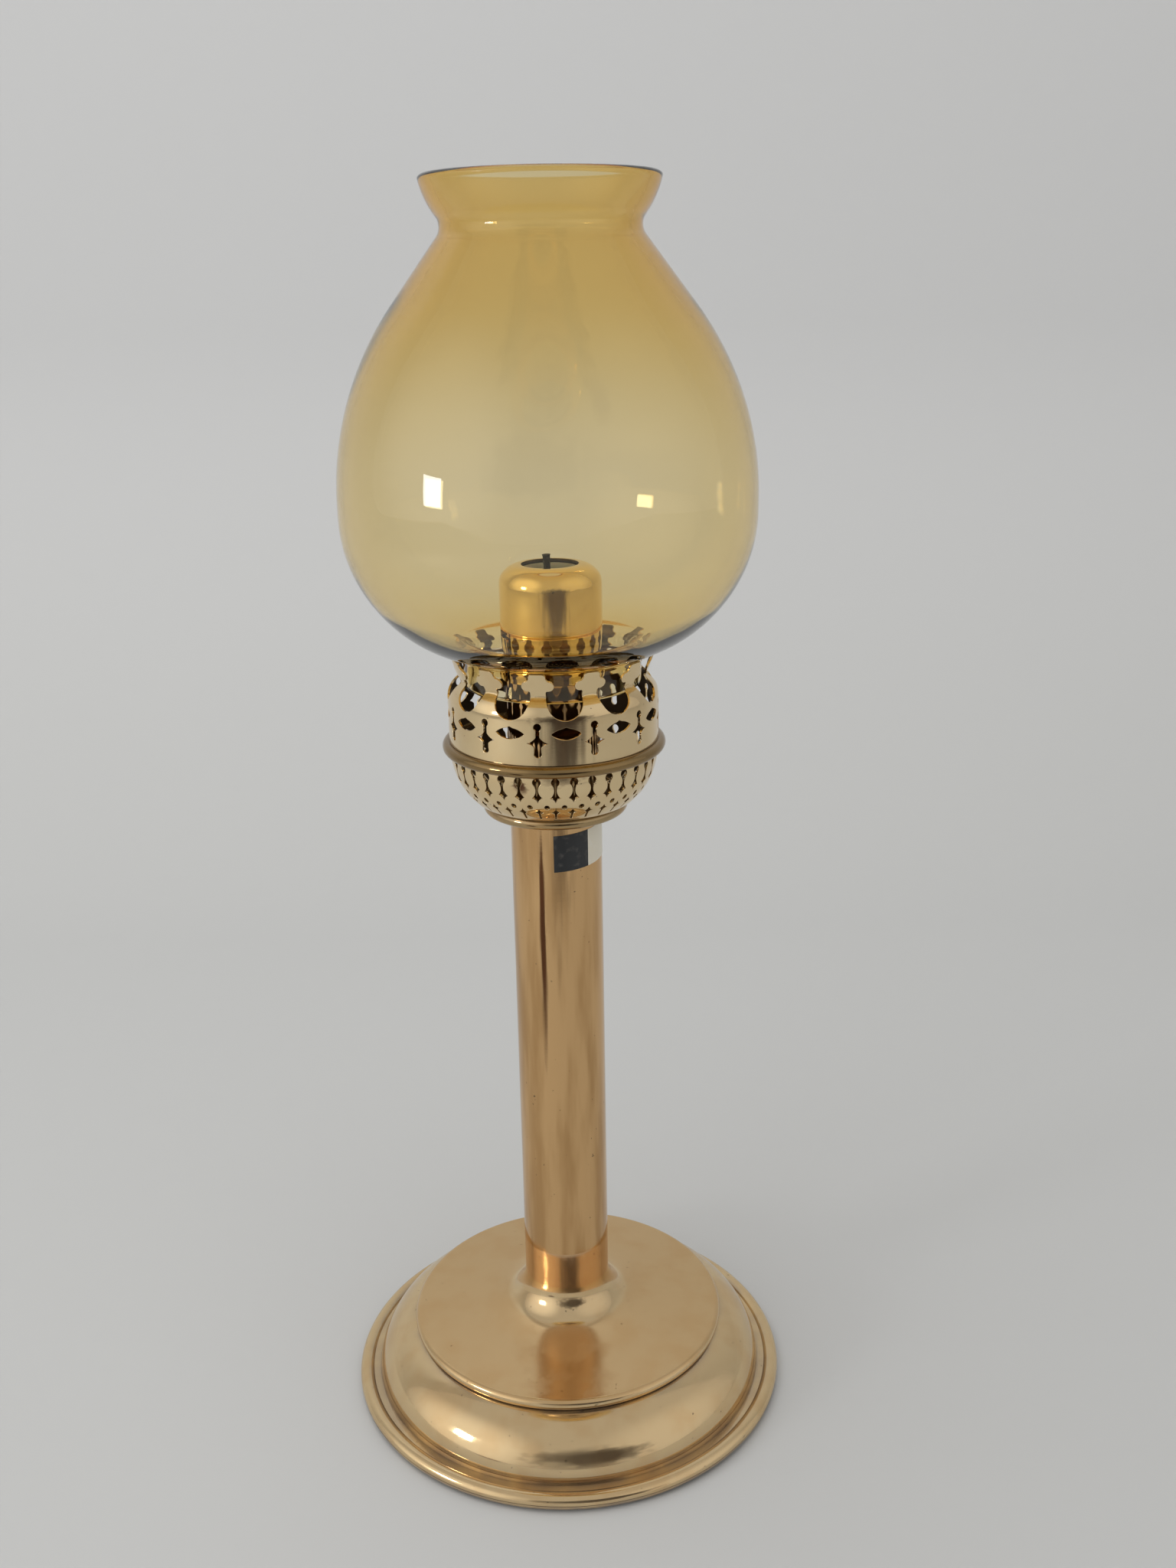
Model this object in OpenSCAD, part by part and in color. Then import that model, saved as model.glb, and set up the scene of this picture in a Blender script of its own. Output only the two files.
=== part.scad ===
// Spring-fed brass candle lamp with a pierced gallery and a blown glass shade.
// Millimetres, +Z up, origin on the lamp's axis at the surface it stands on.

/* [Foot] */
// Outside diameter over the rolled rim
foot_d = 133.4; // [124:0.2:150]
// Diameter of the rolled rim's bead
rim_bead_d = 4.8; // [4:0.1:6]
// Width of the groove between the rim and the skirt
rim_groove_w = 1.6; // [1:0.1:2.5]
// Radius of the skirt's curve
skirt_r = 17; // [14:0.1:19]
// Radius of the small bead round the deck
deck_bead_r = 1.75; // [1.2:0.05:2.2]
// Rise of the deck from its bead to the cove
deck_rise = 2.6; // [1:0.1:4]
// Radius of the cove that carries the ferrule
cove_r = 10.7; // [8:0.1:13]
// Slope of the deck where the cove leaves it, in degrees
cove_slope = 13.5; // [6:0.5:25]
// Thickness of the spun sheet
foot_wall = 1.2; // [0.8:0.1:1.6]
// Thickness of the bottom plate
plate_t = 0.8; // [0.6:0.1:1.2]
// Thickness of the felt
felt_t = 1.0; // [0.8:0.1:1.6]

/* [Stem] */
// Outside diameter of the candle tube and the ferrule
tube_d = 26; // [24:0.1:29]
// Wall of the candle tube
tube_wall = 0.8; // [0.6:0.05:1]
// Length of the candle tube
tube_len = 204.6; // [190:0.1:220]
// Height of the ferrule
ferrule_h = 12.1; // [8:0.1:18]
// Length of the ferrule's spigot inside the tube
spigot_len = 10.3; // [8:0.1:14]
// Diameter of the stud that ties the foot together
stud_d = 6; // [5:0.5:8]

/* [Gallery] */
// Height of the gallery's collar up the candle tube
gallery_at = 140.6; // [125:0.1:150]
// Outside diameter of the collar
collar_d = 41; // [38:0.1:44]
// Thickness of the collar
collar_t = 3.2; // [2.4:0.1:4]
// Largest diameter of the bowl
bowl_d = 57.8; // [56:0.1:62]
// Radius of the bowl's side
bowl_side_r = 17.8; // [16.5:0.1:19]
// Height of the bowl from the collar to its widest place
bowl_h = 14.5; // [13.6:0.1:15.5]
// Diameter of the bead's round edge, which is also its height
bead_h = 3.2; // [2.6:0.1:4]
// How far the bead stands out from the bowl
bead_out = 2.4; // [1.8:0.1:3]
// Diameter of the crown's straight band
crown_d = 58.6; // [57.6:0.1:61]
// Height of the crown's straight band
crown_band_h = 12.3; // [11.8:0.1:14]
// Radius of the crown's shoulder
shoulder_r = 6.3; // [5.6:0.1:7]
// How far round the shoulder turns in, in degrees
shoulder_turn = 64.8; // [60:0.2:70]
// Length of a finger past its crease
finger_len = 7.5; // [7:0.1:8]
// Lean of the fingers from upright, in degrees
finger_lean = 21; // [17:0.5:25]
// Width of a finger's tip across its two lobes
finger_tip_w = 8.6; // [7.5:0.1:9.5]
// Width of the arches between the fingers
arch_w = 9.6; // [8.6:0.1:10.2]
// Number of fingers on the crown
crown_units = 12; // [11:1:13]
// Number of keyholes round the bowl
bowl_units = 36; // [30:1:38]
// Thickness of the gallery's sheet
sheet_t = 0.7; // [0.5:0.05:0.9]

/* [Piercings] */
// Diameter of a keyhole's round head
keyhole_head_d = 2.2; // [2:0.1:2.4]
// Distance from a keyhole's head down to its star
keyhole_len = 4.6; // [4.2:0.1:5]
// Width of a keyhole's slot at its waist
keyhole_slot_w = 0.6; // [0.5:0.05:0.8]
// Width of a keyhole's star from point to point
keyhole_star_w = 2.8; // [2.2:0.1:3]
// Diameter of the dots between the keyholes
dot_d = 1.4; // [1:0.1:1.6]
// Width of the lower stars from point to point
low_star_w = 2.4; // [2:0.1:2.6]
// Width of the slot under a lower star
low_slot_w = 0.5; // [0.4:0.05:0.6]
// Width of the diamond in a drop from point to point
drop_w = 5.6; // [5:0.1:6]
// Diameter of a drop's round head
drop_head_d = 2; // [1.8:0.1:2.4]
// Width of a lens
lens_w = 8; // [7:0.1:8.4]
// Height of a lens
lens_h = 3.1; // [2.6:0.1:3.4]

/* [Candle cap] */
// Wall of the cap
cap_wall = 0.8; // [0.6:0.05:1]
// Radius of the cap's round shoulder
cap_round_r = 5.7; // [4.5:0.1:6]
// Diameter of the hole that the wick stands in
cap_hole_d = 15.6; // [14:0.1:16]
// Length of the skirt below the shoulder
cap_skirt_len = 24.6; // [22:0.1:27]
// Diameter of the bayonet pins
pin_d = 1.8; // [1.4:0.1:2]
// Height of the bayonet pins above the skirt's edge
pin_at = 10.8; // [8:0.1:13]
// Turn that frees the bayonet, in degrees
bayonet_turn = 25; // [18:1:30]

/* [Candle] */
// Diameter of the candle
candle_d = 22; // [20:0.1:22.4]
// Length of the candle
candle_len = 137; // [110:1:140]
// Diameter of the wick
wick_d = 2; // [1.4:0.1:2.6]
// Length of wick standing out of the wax
wick_out = 5.6; // [3:0.1:8]
// Diameter of the spring's wire
wire_d = 1.2; // [1:0.1:1.4]
// Outside diameter of the spring
spring_d = 20.2; // [18:0.1:21]
// Turns of the spring
spring_turns = 20; // [16:1:22]

/* [Glass shade] */
// Wall of the glass
glass_t = 2; // [1.6:0.1:2.6]
// Outside diameter of the neck that stands in the crown
neck_d = 49.2; // [47:0.1:49.4]
// Length of the neck's straight part
neck_len = 6.4; // [5:0.1:7.4]
// Radius between the neck and the bowl of the shade
neck_round_r = 3; // [2.6:0.1:3.6]
// Diameter of the belly
belly_d = 111.8; // [100:0.2:124]
// Radius of the shade's lower side
lower_r = 39.3; // [37:0.1:42]
// Height of the upright band at the belly
belly_band = 3.3; // [2:0.1:5]
// Radius of the shade's upper side
upper_r = 82.2; // [74:0.1:90]
// Lean of the straight part below the throat, in degrees
throat_lean = 37.2; // [33:0.2:40]
// Outside diameter of the throat
throat_d = 51.8; // [48:0.1:56]
// Radius of the throat's curve
throat_r = 4; // [2.8:0.1:5]
// Lean of the lip where it leaves the throat, in degrees
lip_lean = 37; // [28:0.5:40]
// Radius of the lip's outer curve
lip_r = 23.5; // [20:0.5:30]
// Lean of the lip at its edge, in degrees
lip_edge_lean = 13; // [6:0.5:16]

/* [Hidden] */
$fn = 96;
arc_step = 4;
small_step = 22.5;
small_r = 1.5;

// Clearances: soldered or pressed pieces, pieces that slide or lift, the rim above the felt,
// the stud in its holes and the seam in the rim; then how far cuts run past what they cut
fixed_gap = 0.05;
free_gap = 0.3;
rim_lift = 0.2;
stud_gap = 0.2;
seam_gap = 0.15;
far = 400;
pierce_reach = 4;
cut_over = 1;

// Colours of the finishes
brass = [0.80, 0.66, 0.42];
bright_brass = [0.86, 0.62, 0.22];
steel = [0.55, 0.55, 0.57];
iron = [0.25, 0.25, 0.26];
felt = [0.14, 0.26, 0.17];
wax = [0.93, 0.90, 0.80];
char = [0.08, 0.07, 0.06];
amber = [0.72, 0.55, 0.16, 0.45];

// Foot: rim bead, groove, skirt, deck bead, deck and cove, from the outside inwards
rim_r = rim_bead_d / 2;
rim_c = [foot_d / 2 - rim_r, rim_lift + rim_r];
groove_turn = 37;
groove_z = rim_c[1] + rim_r * sin(groove_turn);
skirt_out = rim_c[0] - rim_r - rim_groove_w;
skirt_c = [skirt_out - skirt_r, rim_c[1]];
skirt_turn = 72;
skirt_end = skirt_c + skirt_r * [cos(skirt_turn), sin(skirt_turn)];
deck_bead_set = 1.2;
deck_bead_c = skirt_end + deck_bead_set * deck_bead_r * [-1, 1];
riser_turn = 66;
riser_in = deck_bead_c[0] + deck_bead_r * cos(riser_turn) - foot_wall;
deck_z = deck_bead_c[1] + deck_bead_r;
cove_z = deck_z + deck_rise;
tube_r = tube_d / 2;
cove_c = [tube_r + cove_r, cove_z + cove_r * cos(cove_slope)];
cove_edge = cove_c - cove_r * [sin(cove_slope), cos(cove_slope)];
foot_h = cove_c[1];
deck_fall = deck_rise / (deck_bead_c[0] - cove_edge[0]);
function deck_top(r) = deck_z + (deck_bead_c[0] - r) * deck_fall;

// Stud, washer and nut under the ballast
stud_r = stud_d / 2;
stud_hole_r = stud_r + stud_gap;
nut_af = stud_d * 5 / 3;
nut_h = stud_d * 0.8;
washer_r = stud_d * 1.5;
washer_t = 1.4;
recess_gap = 2;
recess_r = washer_r + recess_gap;
ballast_z = felt_t + plate_t + fixed_gap;
nut_rise = 1.2;
nut_z = ballast_z + nut_rise;
washer_z = nut_z + nut_h;
recess_top = washer_z + washer_t;
stud_out = 0.4;
stud_z = nut_z - stud_out;
stud_bite = 12;

// Stem heights
ferrule_z = foot_h;
tube_z = ferrule_z + ferrule_h;
spigot_top = tube_z + spigot_len;
tube_top = tube_z + tube_len;
tube_in_r = tube_r - tube_wall;

// Gallery heights
collar_z = tube_z + gallery_at;
collar_top = collar_z + collar_t;
sleeve_h = 9;
sleeve_t = 1.2;
sleeve_r = tube_r + fixed_gap + sleeve_t;
bowl_r = bowl_d / 2;
bowl_c = [bowl_r - bowl_side_r, collar_top + bowl_h];
bead_lap = 0.5;
bead_z = bowl_c[1] + bead_lap;
bead_top = bead_z + bead_h;
crown_r = crown_d / 2;
shoulder_c = [crown_r - shoulder_r, bead_top + crown_band_h];
fold = shoulder_c + (shoulder_r - sheet_t / 2) * [cos(shoulder_turn), sin(shoulder_turn)];
finger_dir = [sin(finger_lean), cos(finger_lean)];
finger_side = [-cos(finger_lean), sin(finger_lean)];
finger_end = fold + finger_len * finger_dir;
finger_seat = finger_end + sheet_t / 2 * finger_side;
// Swelling of the sheet where it is creased
crease_swell = 0.05;
finger_turn = -98.6;
keyhole_turn = -90;

// Piercings: heights below the bowl's widest place, and above the bead for the crown
keyhole_drop = 0.9;
dot_drop = 8.5;
low_star_drop = 10.3;
low_slot_len = 2.6;
lens_rise = 8.7;
lens_point_w = 1.8;
lens_point_h = 0.7;
drop_rise = 6.3;
drop_head_rise = 4.4;
drop_neck_w = 1;
drop_foot_d = 2;
drop_foot_fall = 2.9;
drop_waist_w = 1.8;
star_waist = 0.4;
// Length of a star's side point past the slot above it
star_point = 0.05;
diamond_hollow = 0.9;

// Finger tip: widths of its stem and knob, and the place of its lobes as shares of its rise
finger_stem_w = 4.2;
finger_knob_w = 4.6;
finger_knob_r = 1;
lobe_share = 0.42;
lobe_place = 0.5;

// Shade: its lower side rests just above the ends of the fingers
belly_r = belly_d / 2;
neck_r = neck_d / 2;
lower_c_r = belly_r - lower_r;
seat_reach = finger_seat[0] - lower_c_r;
belly_z = finger_seat[1] + sqrt(pow(lower_r + free_gap, 2) - pow(seat_reach, 2));
lower_c = [lower_c_r, belly_z];
neck_round_c = [
    neck_r + neck_round_r,
    belly_z - sqrt(pow(lower_r + neck_round_r, 2) - pow(neck_r + neck_round_r - lower_c_r, 2))
];
neck_turn = atan2(belly_z - neck_round_c[1], neck_round_c[0] - lower_c_r);
upper_c = [belly_r - upper_r, belly_z + belly_band];
upper_end = upper_c + upper_r * [cos(throat_lean), sin(throat_lean)];
throat_in = throat_d / 2;
throat_low_r = throat_in + throat_r * (1 - cos(throat_lean));
throat_c = [
    throat_in + throat_r,
    upper_end[1] + (upper_end[0] - throat_low_r) / tan(throat_lean) + throat_r * sin(throat_lean)
];
lip_start = throat_c + throat_r * [-cos(lip_lean), sin(lip_lean)];
lip_c = lip_start + lip_r * [-cos(lip_lean), sin(lip_lean)];

// Cap on the tube's end
cap_in_r = tube_r + free_gap;
cap_r = cap_in_r + cap_wall;
cap_round_z = tube_top + free_gap;
cap_top = cap_round_z + cap_round_r;
cap_z = cap_round_z - cap_skirt_len;
cap_hole_r = cap_hole_d / 2;
pin_z = cap_z + pin_at;
slot_w = pin_d + 2 * free_gap;
entry_turn = -148;
pin_turns = [entry_turn - bayonet_turn, entry_turn - bayonet_turn + 180];

// Candle, follower and spring inside the tube
candle_r = candle_d / 2;
candle_top = cap_top - cap_wall - free_gap;
candle_z = candle_top - candle_len;
candle_bevel = 3.2;
pool_r = 7.2;
pool_deep = 1.8;
pool_sphere_r = (pool_r * pool_r + pool_deep * pool_deep) / (2 * pool_deep);
wick_r = wick_d / 2;
wick_deep = 12;
wick_z = candle_top - pool_deep - wick_deep;
wick_top = candle_top - pool_deep + wick_out;
cup_floor = 1;
cup_h = 8;
cup_r = tube_in_r - free_gap;
cup_in_r = candle_r + fixed_gap;
cup_z = candle_z - cup_floor;
boss_h = 6;
spring_low = spigot_top + free_gap;
spring_high = cup_z - free_gap;
coil_r = (spring_d - wire_d) / 2;
wire_sides = 6;
turn_rings = 8;
boss_r = (coil_r - wire_d / 2) * cos(180 / turn_rings) - free_gap;

// Profile pieces

// Part of a ring with the given outside radius, between two angles
module ring_sector(at, r, wall, from, to) {
    translate(at)
        intersection() {
            difference() {
                circle(r);
                circle(r - wall);
            }
            sector(2 * r, from, to);
        }
}

// Wedge of the plane between two angles
module sector(reach, from, to) {
    steps = ceil((to - from) / 45);
    angles = [for (i = [0 : steps]) from + (to - from) * i / steps];
    polygon(concat([[0, 0]], [for (a = angles) reach * [cos(a), sin(a)]]));
}

// Strip of even thickness from one point to another, on the left of its direction
module strip(from, to, wall) {
    along = (to - from) / norm(to - from);
    side = wall * [-along[1], along[0]];
    polygon([from, to, to + side, from + side]);
}

// Points along an arc; its last point is left out where another arc goes on from there
function arc_points(at, r, from, to, goes_on = true) =
    let (steps = ceil(abs(to - from) / (r < small_r ? small_step : arc_step)))
    [for (i = [0 : goes_on ? steps - 1 : steps])
        let (a = from + (to - from) * i / steps)
        at + r * [cos(a), sin(a)]];

// Flat shape stood upright and pushed outwards through a wall at an angle round the axis
module pierce(turn, z, r_from, r_to) {
    rotate([0, 0, turn])
        translate([r_from, 0, z])
            rotate([90, 0, 90])
                linear_extrude(r_to - r_from)
                    children();
}

// Star with four points and straight sides drawn in towards its middle
module star(half) {
    waist = star_waist * half;
    polygon([for (i = [0 : 7]) (i % 2 == 0 ? half : waist) * [cos(45 * i), sin(45 * i)]]);
}

// Diamond with hollow sides
module hollow_diamond(half) {
    difference() {
        square(2 * half, center = true);
        for (x = [-half, half], y = [-half, half])
            translate([x, y]) circle(half * diamond_hollow);
    }
}

// Foot group

// Outline of the spun sheet: over the rim, up the skirt, over the deck and up the cove, then back inside
function foot_outline() = concat(
    arc_points(rim_c, rim_r, asin(seam_gap / 2 / rim_r), 180 - groove_turn, false),
    arc_points(skirt_c, skirt_r, asin((groove_z - skirt_c[1]) / skirt_r), skirt_turn, false),
    arc_points(deck_bead_c, deck_bead_r, -riser_turn, 90, false),
    arc_points(cove_c, cove_r, 270 - cove_slope, 180, false),
    [[stud_hole_r, foot_h], [stud_hole_r, foot_h - foot_wall]],
    arc_points(cove_c, cove_r + foot_wall, 180 + asin(foot_wall / (cove_r + foot_wall)),
        270 - cove_slope, false),
    [[riser_in, deck_top(riser_in) - foot_wall]],
    arc_points(skirt_c, skirt_r - foot_wall, acos((riser_in - skirt_c[0]) / (skirt_r - foot_wall)),
        asin(seam_gap / 2 / (skirt_r - foot_wall)), false)
);

module foot() {
    color(brass)
        rotate_extrude() polygon(foot_outline());
}

module base_plate() {
    color(brass)
        rotate_extrude() {
            intersection() {
                translate(rim_c) circle(rim_r);
                translate([0, rim_c[1] - seam_gap / 2 - far]) square(far);
            }
            translate([0, felt_t]) square([rim_c[0], plate_t]);
        }
}

module felt_pad() {
    color(felt)
        cylinder(h = felt_t, r = rim_c[0] - rim_r - free_gap);
}

module ballast_profile() {
    block_r = deck_bead_c[0] - deck_bead_r - free_gap;
    neck_block_r = cove_edge[0];
    under = foot_wall + fixed_gap;
    intersection() {
        translate(skirt_c) circle(skirt_r - under);
        translate([0, ballast_z]) square([skirt_out, far]);
    }
    polygon([
        [stud_hole_r, ballast_z],
        [block_r, ballast_z],
        [block_r, deck_top(block_r) - under],
        [neck_block_r, deck_top(neck_block_r) - under],
        [stud_hole_r, deck_top(neck_block_r) - under]
    ]);
}

module ballast() {
    color(iron)
        difference() {
            rotate_extrude() ballast_profile();
            translate([0, 0, ballast_z - cut_over])
                cylinder(h = recess_top - ballast_z + cut_over, r = recess_r);
            cylinder(h = far, r = stud_hole_r);
        }
}

module stud() {
    color(steel)
        translate([0, 0, stud_z]) cylinder(h = ferrule_z + stud_bite - stud_z, r = stud_r);
}

module washer() {
    color(steel)
        translate([0, 0, washer_z])
            difference() {
                cylinder(h = washer_t, r = washer_r);
                translate([0, 0, -cut_over]) cylinder(h = washer_t + 2 * cut_over, r = stud_hole_r);
            }
}

module nut() {
    color(steel)
        translate([0, 0, nut_z])
            difference() {
                cylinder(h = nut_h, r = nut_af / sqrt(3), $fn = 6);
                translate([0, 0, -cut_over]) cylinder(h = nut_h + 2 * cut_over, r = stud_r + fixed_gap);
            }
}

// Stem group

module ferrule() {
    color(bright_brass)
        difference() {
            union() {
                translate([0, 0, ferrule_z]) cylinder(h = ferrule_h, r = tube_r);
                translate([0, 0, tube_z]) cylinder(h = spigot_len, r = tube_in_r - fixed_gap);
            }
            translate([0, 0, ferrule_z - cut_over])
                cylinder(h = stud_bite + 2 * cut_over, r = stud_r + fixed_gap);
        }
}

module candle_tube() {
    color(brass)
        difference() {
            translate([0, 0, tube_z]) cylinder(h = tube_len, r = tube_r);
            translate([0, 0, tube_z - cut_over]) cylinder(h = tube_len + 2 * cut_over, r = tube_in_r);
            for (turn = pin_turns)
                rotate([0, 0, turn])
                    translate([0, 0, pin_z])
                        rotate([0, 90, 0]) cylinder(h = cap_r, r = pin_d / 2 + fixed_gap);
        }
}

module bayonet_pins() {
    color(brass)
        for (turn = pin_turns)
            rotate([0, 0, turn])
                translate([tube_in_r, 0, pin_z])
                    rotate([0, 90, 0]) cylinder(h = cap_r - tube_in_r, r = pin_d / 2);
}

// Spring: one round wire whose end turns lie closer than the rest

end_turns = 1;
end_gap = 0.6;
spring_rings = spring_turns * turn_rings;
end_pitch = wire_d + end_gap;
spring_rise = spring_high - spring_low - wire_d;
mid_pitch = (spring_rise - 2 * end_turns * end_pitch) / (spring_turns - 2 * end_turns);
function spring_climb(t) =
    t < end_turns ? t * end_pitch :
    t > spring_turns - end_turns ? spring_rise - (spring_turns - t) * end_pitch :
    end_turns * end_pitch + (t - end_turns) * mid_pitch;
function spring_point(i) =
    let (t = i / turn_rings)
    [coil_r * cos(360 * t), coil_r * sin(360 * t), spring_low + wire_d / 2 + spring_climb(t)];
function wire_ring(i) =
    let (turn = 360 * i / turn_rings, out = [cos(turn), sin(turn), 0])
    [for (k = [0 : wire_sides - 1])
        spring_point(i) + wire_d / 2 * (cos(360 * k / wire_sides) * out + [0, 0, sin(360 * k / wire_sides)])];

// Least gap between one turn's points and the next turn's, less the wire
function turn_gap(i) = norm(spring_point(i + turn_rings) - spring_point(i)) - wire_d;
function least_spring_gap() = min([for (i = [0 : spring_rings - turn_rings]) turn_gap(i)]);

module spring() {
    points = [for (i = [0 : spring_rings]) each wire_ring(i)];
    sides = [
        for (i = [0 : spring_rings - 1], k = [0 : wire_sides - 1])
            let (
                a = i * wire_sides + k,
                b = i * wire_sides + (k + 1) % wire_sides
            )
            each [[a, b, b + wire_sides], [a, b + wire_sides, a + wire_sides]]
    ];
    last = spring_rings * wire_sides;
    ends = [
        for (k = [1 : wire_sides - 2])
            each [[0, k + 1, k], [last, last + k, last + k + 1]]
    ];
    echo(least_spring_gap = least_spring_gap());
    color(steel)
        polyhedron(points = points, faces = concat(sides, ends));
}

// Candle group

module follower() {
    color(brass)
        difference() {
            union() {
                translate([0, 0, cup_z]) cylinder(h = cup_floor + cup_h, r = cup_r);
                translate([0, 0, cup_z - boss_h]) cylinder(h = boss_h + cup_floor, r = boss_r);
            }
            translate([0, 0, candle_z]) cylinder(h = cup_h + cut_over, r = cup_in_r);
        }
}

// Half of the candle: its side, bevelled shoulder, hollow pool and the hole for the wick
function candle_outline() =
    let (hole_r = wick_r + fixed_gap)
    concat(
        [[0, candle_z], [candle_r, candle_z], [candle_r, candle_top - candle_bevel]],
        [[candle_r - candle_bevel, candle_top]],
        arc_points([0, candle_top - pool_deep + pool_sphere_r], pool_sphere_r,
            asin(pool_r / pool_sphere_r) - 90, asin(hole_r / pool_sphere_r) - 90, false),
        [[hole_r, wick_z], [0, wick_z]]
    );

module candle() {
    color(wax)
        rotate_extrude() polygon(candle_outline());
}

module wick() {
    color(char)
        translate([0, 0, wick_z]) cylinder(h = wick_top - wick_z, r = wick_r);
}

module cap_profile() {
    round_c = [cap_r - cap_round_r, cap_round_z];
    ring_sector(round_c, cap_round_r, cap_wall, 0, 90);
    translate([cap_hole_r, cap_top - cap_wall]) square([round_c[0] - cap_hole_r, cap_wall]);
    translate([cap_in_r, cap_z]) square([cap_wall, cap_skirt_len]);
}

// Slot for one pin: open at the skirt's edge, with a branch that the pin locks in
module bayonet_slot() {
    end_turn = bayonet_turn + asin(slot_w / 2 / cap_in_r);
    translate([cap_in_r - cut_over, -slot_w / 2, cap_z - cut_over])
        cube([cap_wall + 2 * cut_over, slot_w, pin_at + slot_w / 2 + cut_over]);
    rotate([0, 0, -end_turn])
        translate([0, 0, pin_z - slot_w / 2])
            rotate_extrude(angle = end_turn)
                translate([cap_in_r - cut_over, 0]) square([cap_wall + 2 * cut_over, slot_w]);
}

module candle_cap() {
    color(bright_brass)
        difference() {
            rotate_extrude() cap_profile();
            for (turn = [entry_turn, entry_turn + 180])
                rotate([0, 0, turn]) bayonet_slot();
        }
}

// Gallery group

module gallery_collar() {
    edge_r = collar_t / 2;
    color(brass)
        rotate_extrude() {
            translate([tube_r + fixed_gap, collar_z])
                square([collar_d / 2 - edge_r - tube_r - fixed_gap, collar_t]);
            translate([collar_d / 2 - edge_r, collar_z + edge_r]) circle(edge_r);
            translate([tube_r + fixed_gap, collar_z]) square([sleeve_t, collar_t + sleeve_h]);
        }
}

module bowl_profile() {
    low_turn = -asin(bowl_h / bowl_side_r);
    floor_r = bowl_c[0] + bowl_side_r * cos(low_turn);
    ring_sector(bowl_c, bowl_side_r, sheet_t, low_turn, 0);
    translate([bowl_r - sheet_t, bowl_c[1]]) square([sheet_t, bead_lap + bead_h - sheet_t]);
    translate([sleeve_r + fixed_gap, collar_top]) square([floor_r - sleeve_r - fixed_gap, sheet_t]);
}

// Thin slot that hangs down from the middle of a shape
module hanging_slot(width, length) {
    translate([-width / 2, -length]) square([width, length]);
}

// Slot that hangs down to a star, drawn in to a waist by the round plates on both sides of it
module waisted_slot(waist, width, length, start) {
    flare = (width - waist) / 2;
    plate_r = (flare * flare + length * length / 4) / (2 * flare);
    reach = width / 2 - star_point;
    difference() {
        translate([-reach, -length]) square([2 * reach, length - start]);
        for (side = [-1, 1]) translate([side * (plate_r + waist / 2), -length / 2]) circle(plate_r);
    }
}

// Keyhole: round head, waisted slot and a star below it; its height is measured from the head
module keyhole() {
    circle(keyhole_head_d / 2);
    waisted_slot(keyhole_slot_w, keyhole_star_w, keyhole_len, keyhole_head_d / 4);
    translate([0, -keyhole_len]) star(keyhole_star_w / 2);
}

// Star with a thin slot below it
module star_slot() {
    star(low_star_w / 2);
    hanging_slot(low_slot_w, low_slot_len);
}

module gallery_bowl() {
    pitch = 360 / bowl_units;
    r_from = sleeve_r + pierce_reach;
    r_to = bowl_r + pierce_reach;
    color(brass)
        difference() {
            rotate_extrude() bowl_profile();
            for (i = [0 : bowl_units - 1]) {
                turn = keyhole_turn + i * pitch;
                pierce(turn, bowl_c[1] - keyhole_drop, r_from, r_to) keyhole();
                pierce(turn, bowl_c[1] - low_star_drop, r_from, r_to) star_slot();
                pierce(turn + pitch / 2, bowl_c[1] - dot_drop, r_from, r_to) circle(dot_d / 2);
            }
        }
}

module gallery_bead() {
    edge_r = bead_h / 2;
    outer_r = bowl_r + bead_out;
    color(brass)
        rotate_extrude() {
            intersection() {
                translate([outer_r - edge_r, bead_z + edge_r]) circle(edge_r);
                translate([outer_r - edge_r, bead_z]) square(bead_h);
            }
            translate([bowl_r + fixed_gap, bead_z]) square([outer_r - edge_r - bowl_r - fixed_gap, bead_h]);
        }
}

module crown_profile() {
    translate([crown_r - sheet_t, bead_top]) square([sheet_t, crown_band_h]);
    ring_sector(shoulder_c, shoulder_r, sheet_t, 0, shoulder_turn);
    translate(fold) circle(sheet_t / 2 + crease_swell, $fn = 32);
}

// Drop under each finger: round head, neck, hollow-sided diamond and a round foot
module drop() {
    translate([0, drop_head_rise]) {
        circle(drop_head_d / 2);
        hanging_slot(drop_neck_w, drop_head_rise);
    }
    hollow_diamond(drop_w / 2);
    hanging_slot(drop_waist_w, drop_foot_fall);
    translate([0, -drop_foot_fall]) circle(drop_foot_d / 2);
}

// Lens under each arch, with a small point on its upper edge
module lens() {
    r = (lens_w * lens_w + lens_h * lens_h) / (4 * lens_h);
    intersection() {
        translate([0, r - lens_h / 2]) circle(r);
        translate([0, lens_h / 2 - r]) circle(r);
    }
    translate([0, lens_h / 2])
        polygon([
            [0, lens_point_h / 2],
            [-lens_point_w / 2, -lens_point_h / 2],
            [lens_point_w / 2, -lens_point_h / 2]
        ]);
}

// Arch between two fingers: round below and open above; its height is measured from its lowest point
module arch() {
    translate([0, arch_w / 2]) circle(arch_w / 2);
    translate([-arch_w / 2, arch_w / 2]) square([arch_w, far]);
}

// Tip of a finger seen from outside: stem, two side lobes and a knob
module finger_tip(rise) {
    lobe_h = lobe_share * rise;
    lobe_z = lobe_place * rise;
    lobe_reach = (finger_tip_w - lobe_h) / 2;
    knob_reach = finger_knob_w / 2 - finger_knob_r;
    knob_z = rise - finger_knob_r;
    translate([-finger_stem_w / 2, -sheet_t]) square([finger_stem_w, knob_z + sheet_t]);
    for (side = [-1, 1]) {
        translate([side * lobe_reach, lobe_z]) circle(lobe_h / 2);
        translate([side * knob_reach, knob_z]) circle(finger_knob_r);
    }
    translate([-lobe_reach, lobe_z - lobe_h / 2]) square([2 * lobe_reach, lobe_h]);
    translate([-knob_reach, knob_z - finger_knob_r]) square([2 * knob_reach, 2 * finger_knob_r]);
}

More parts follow.
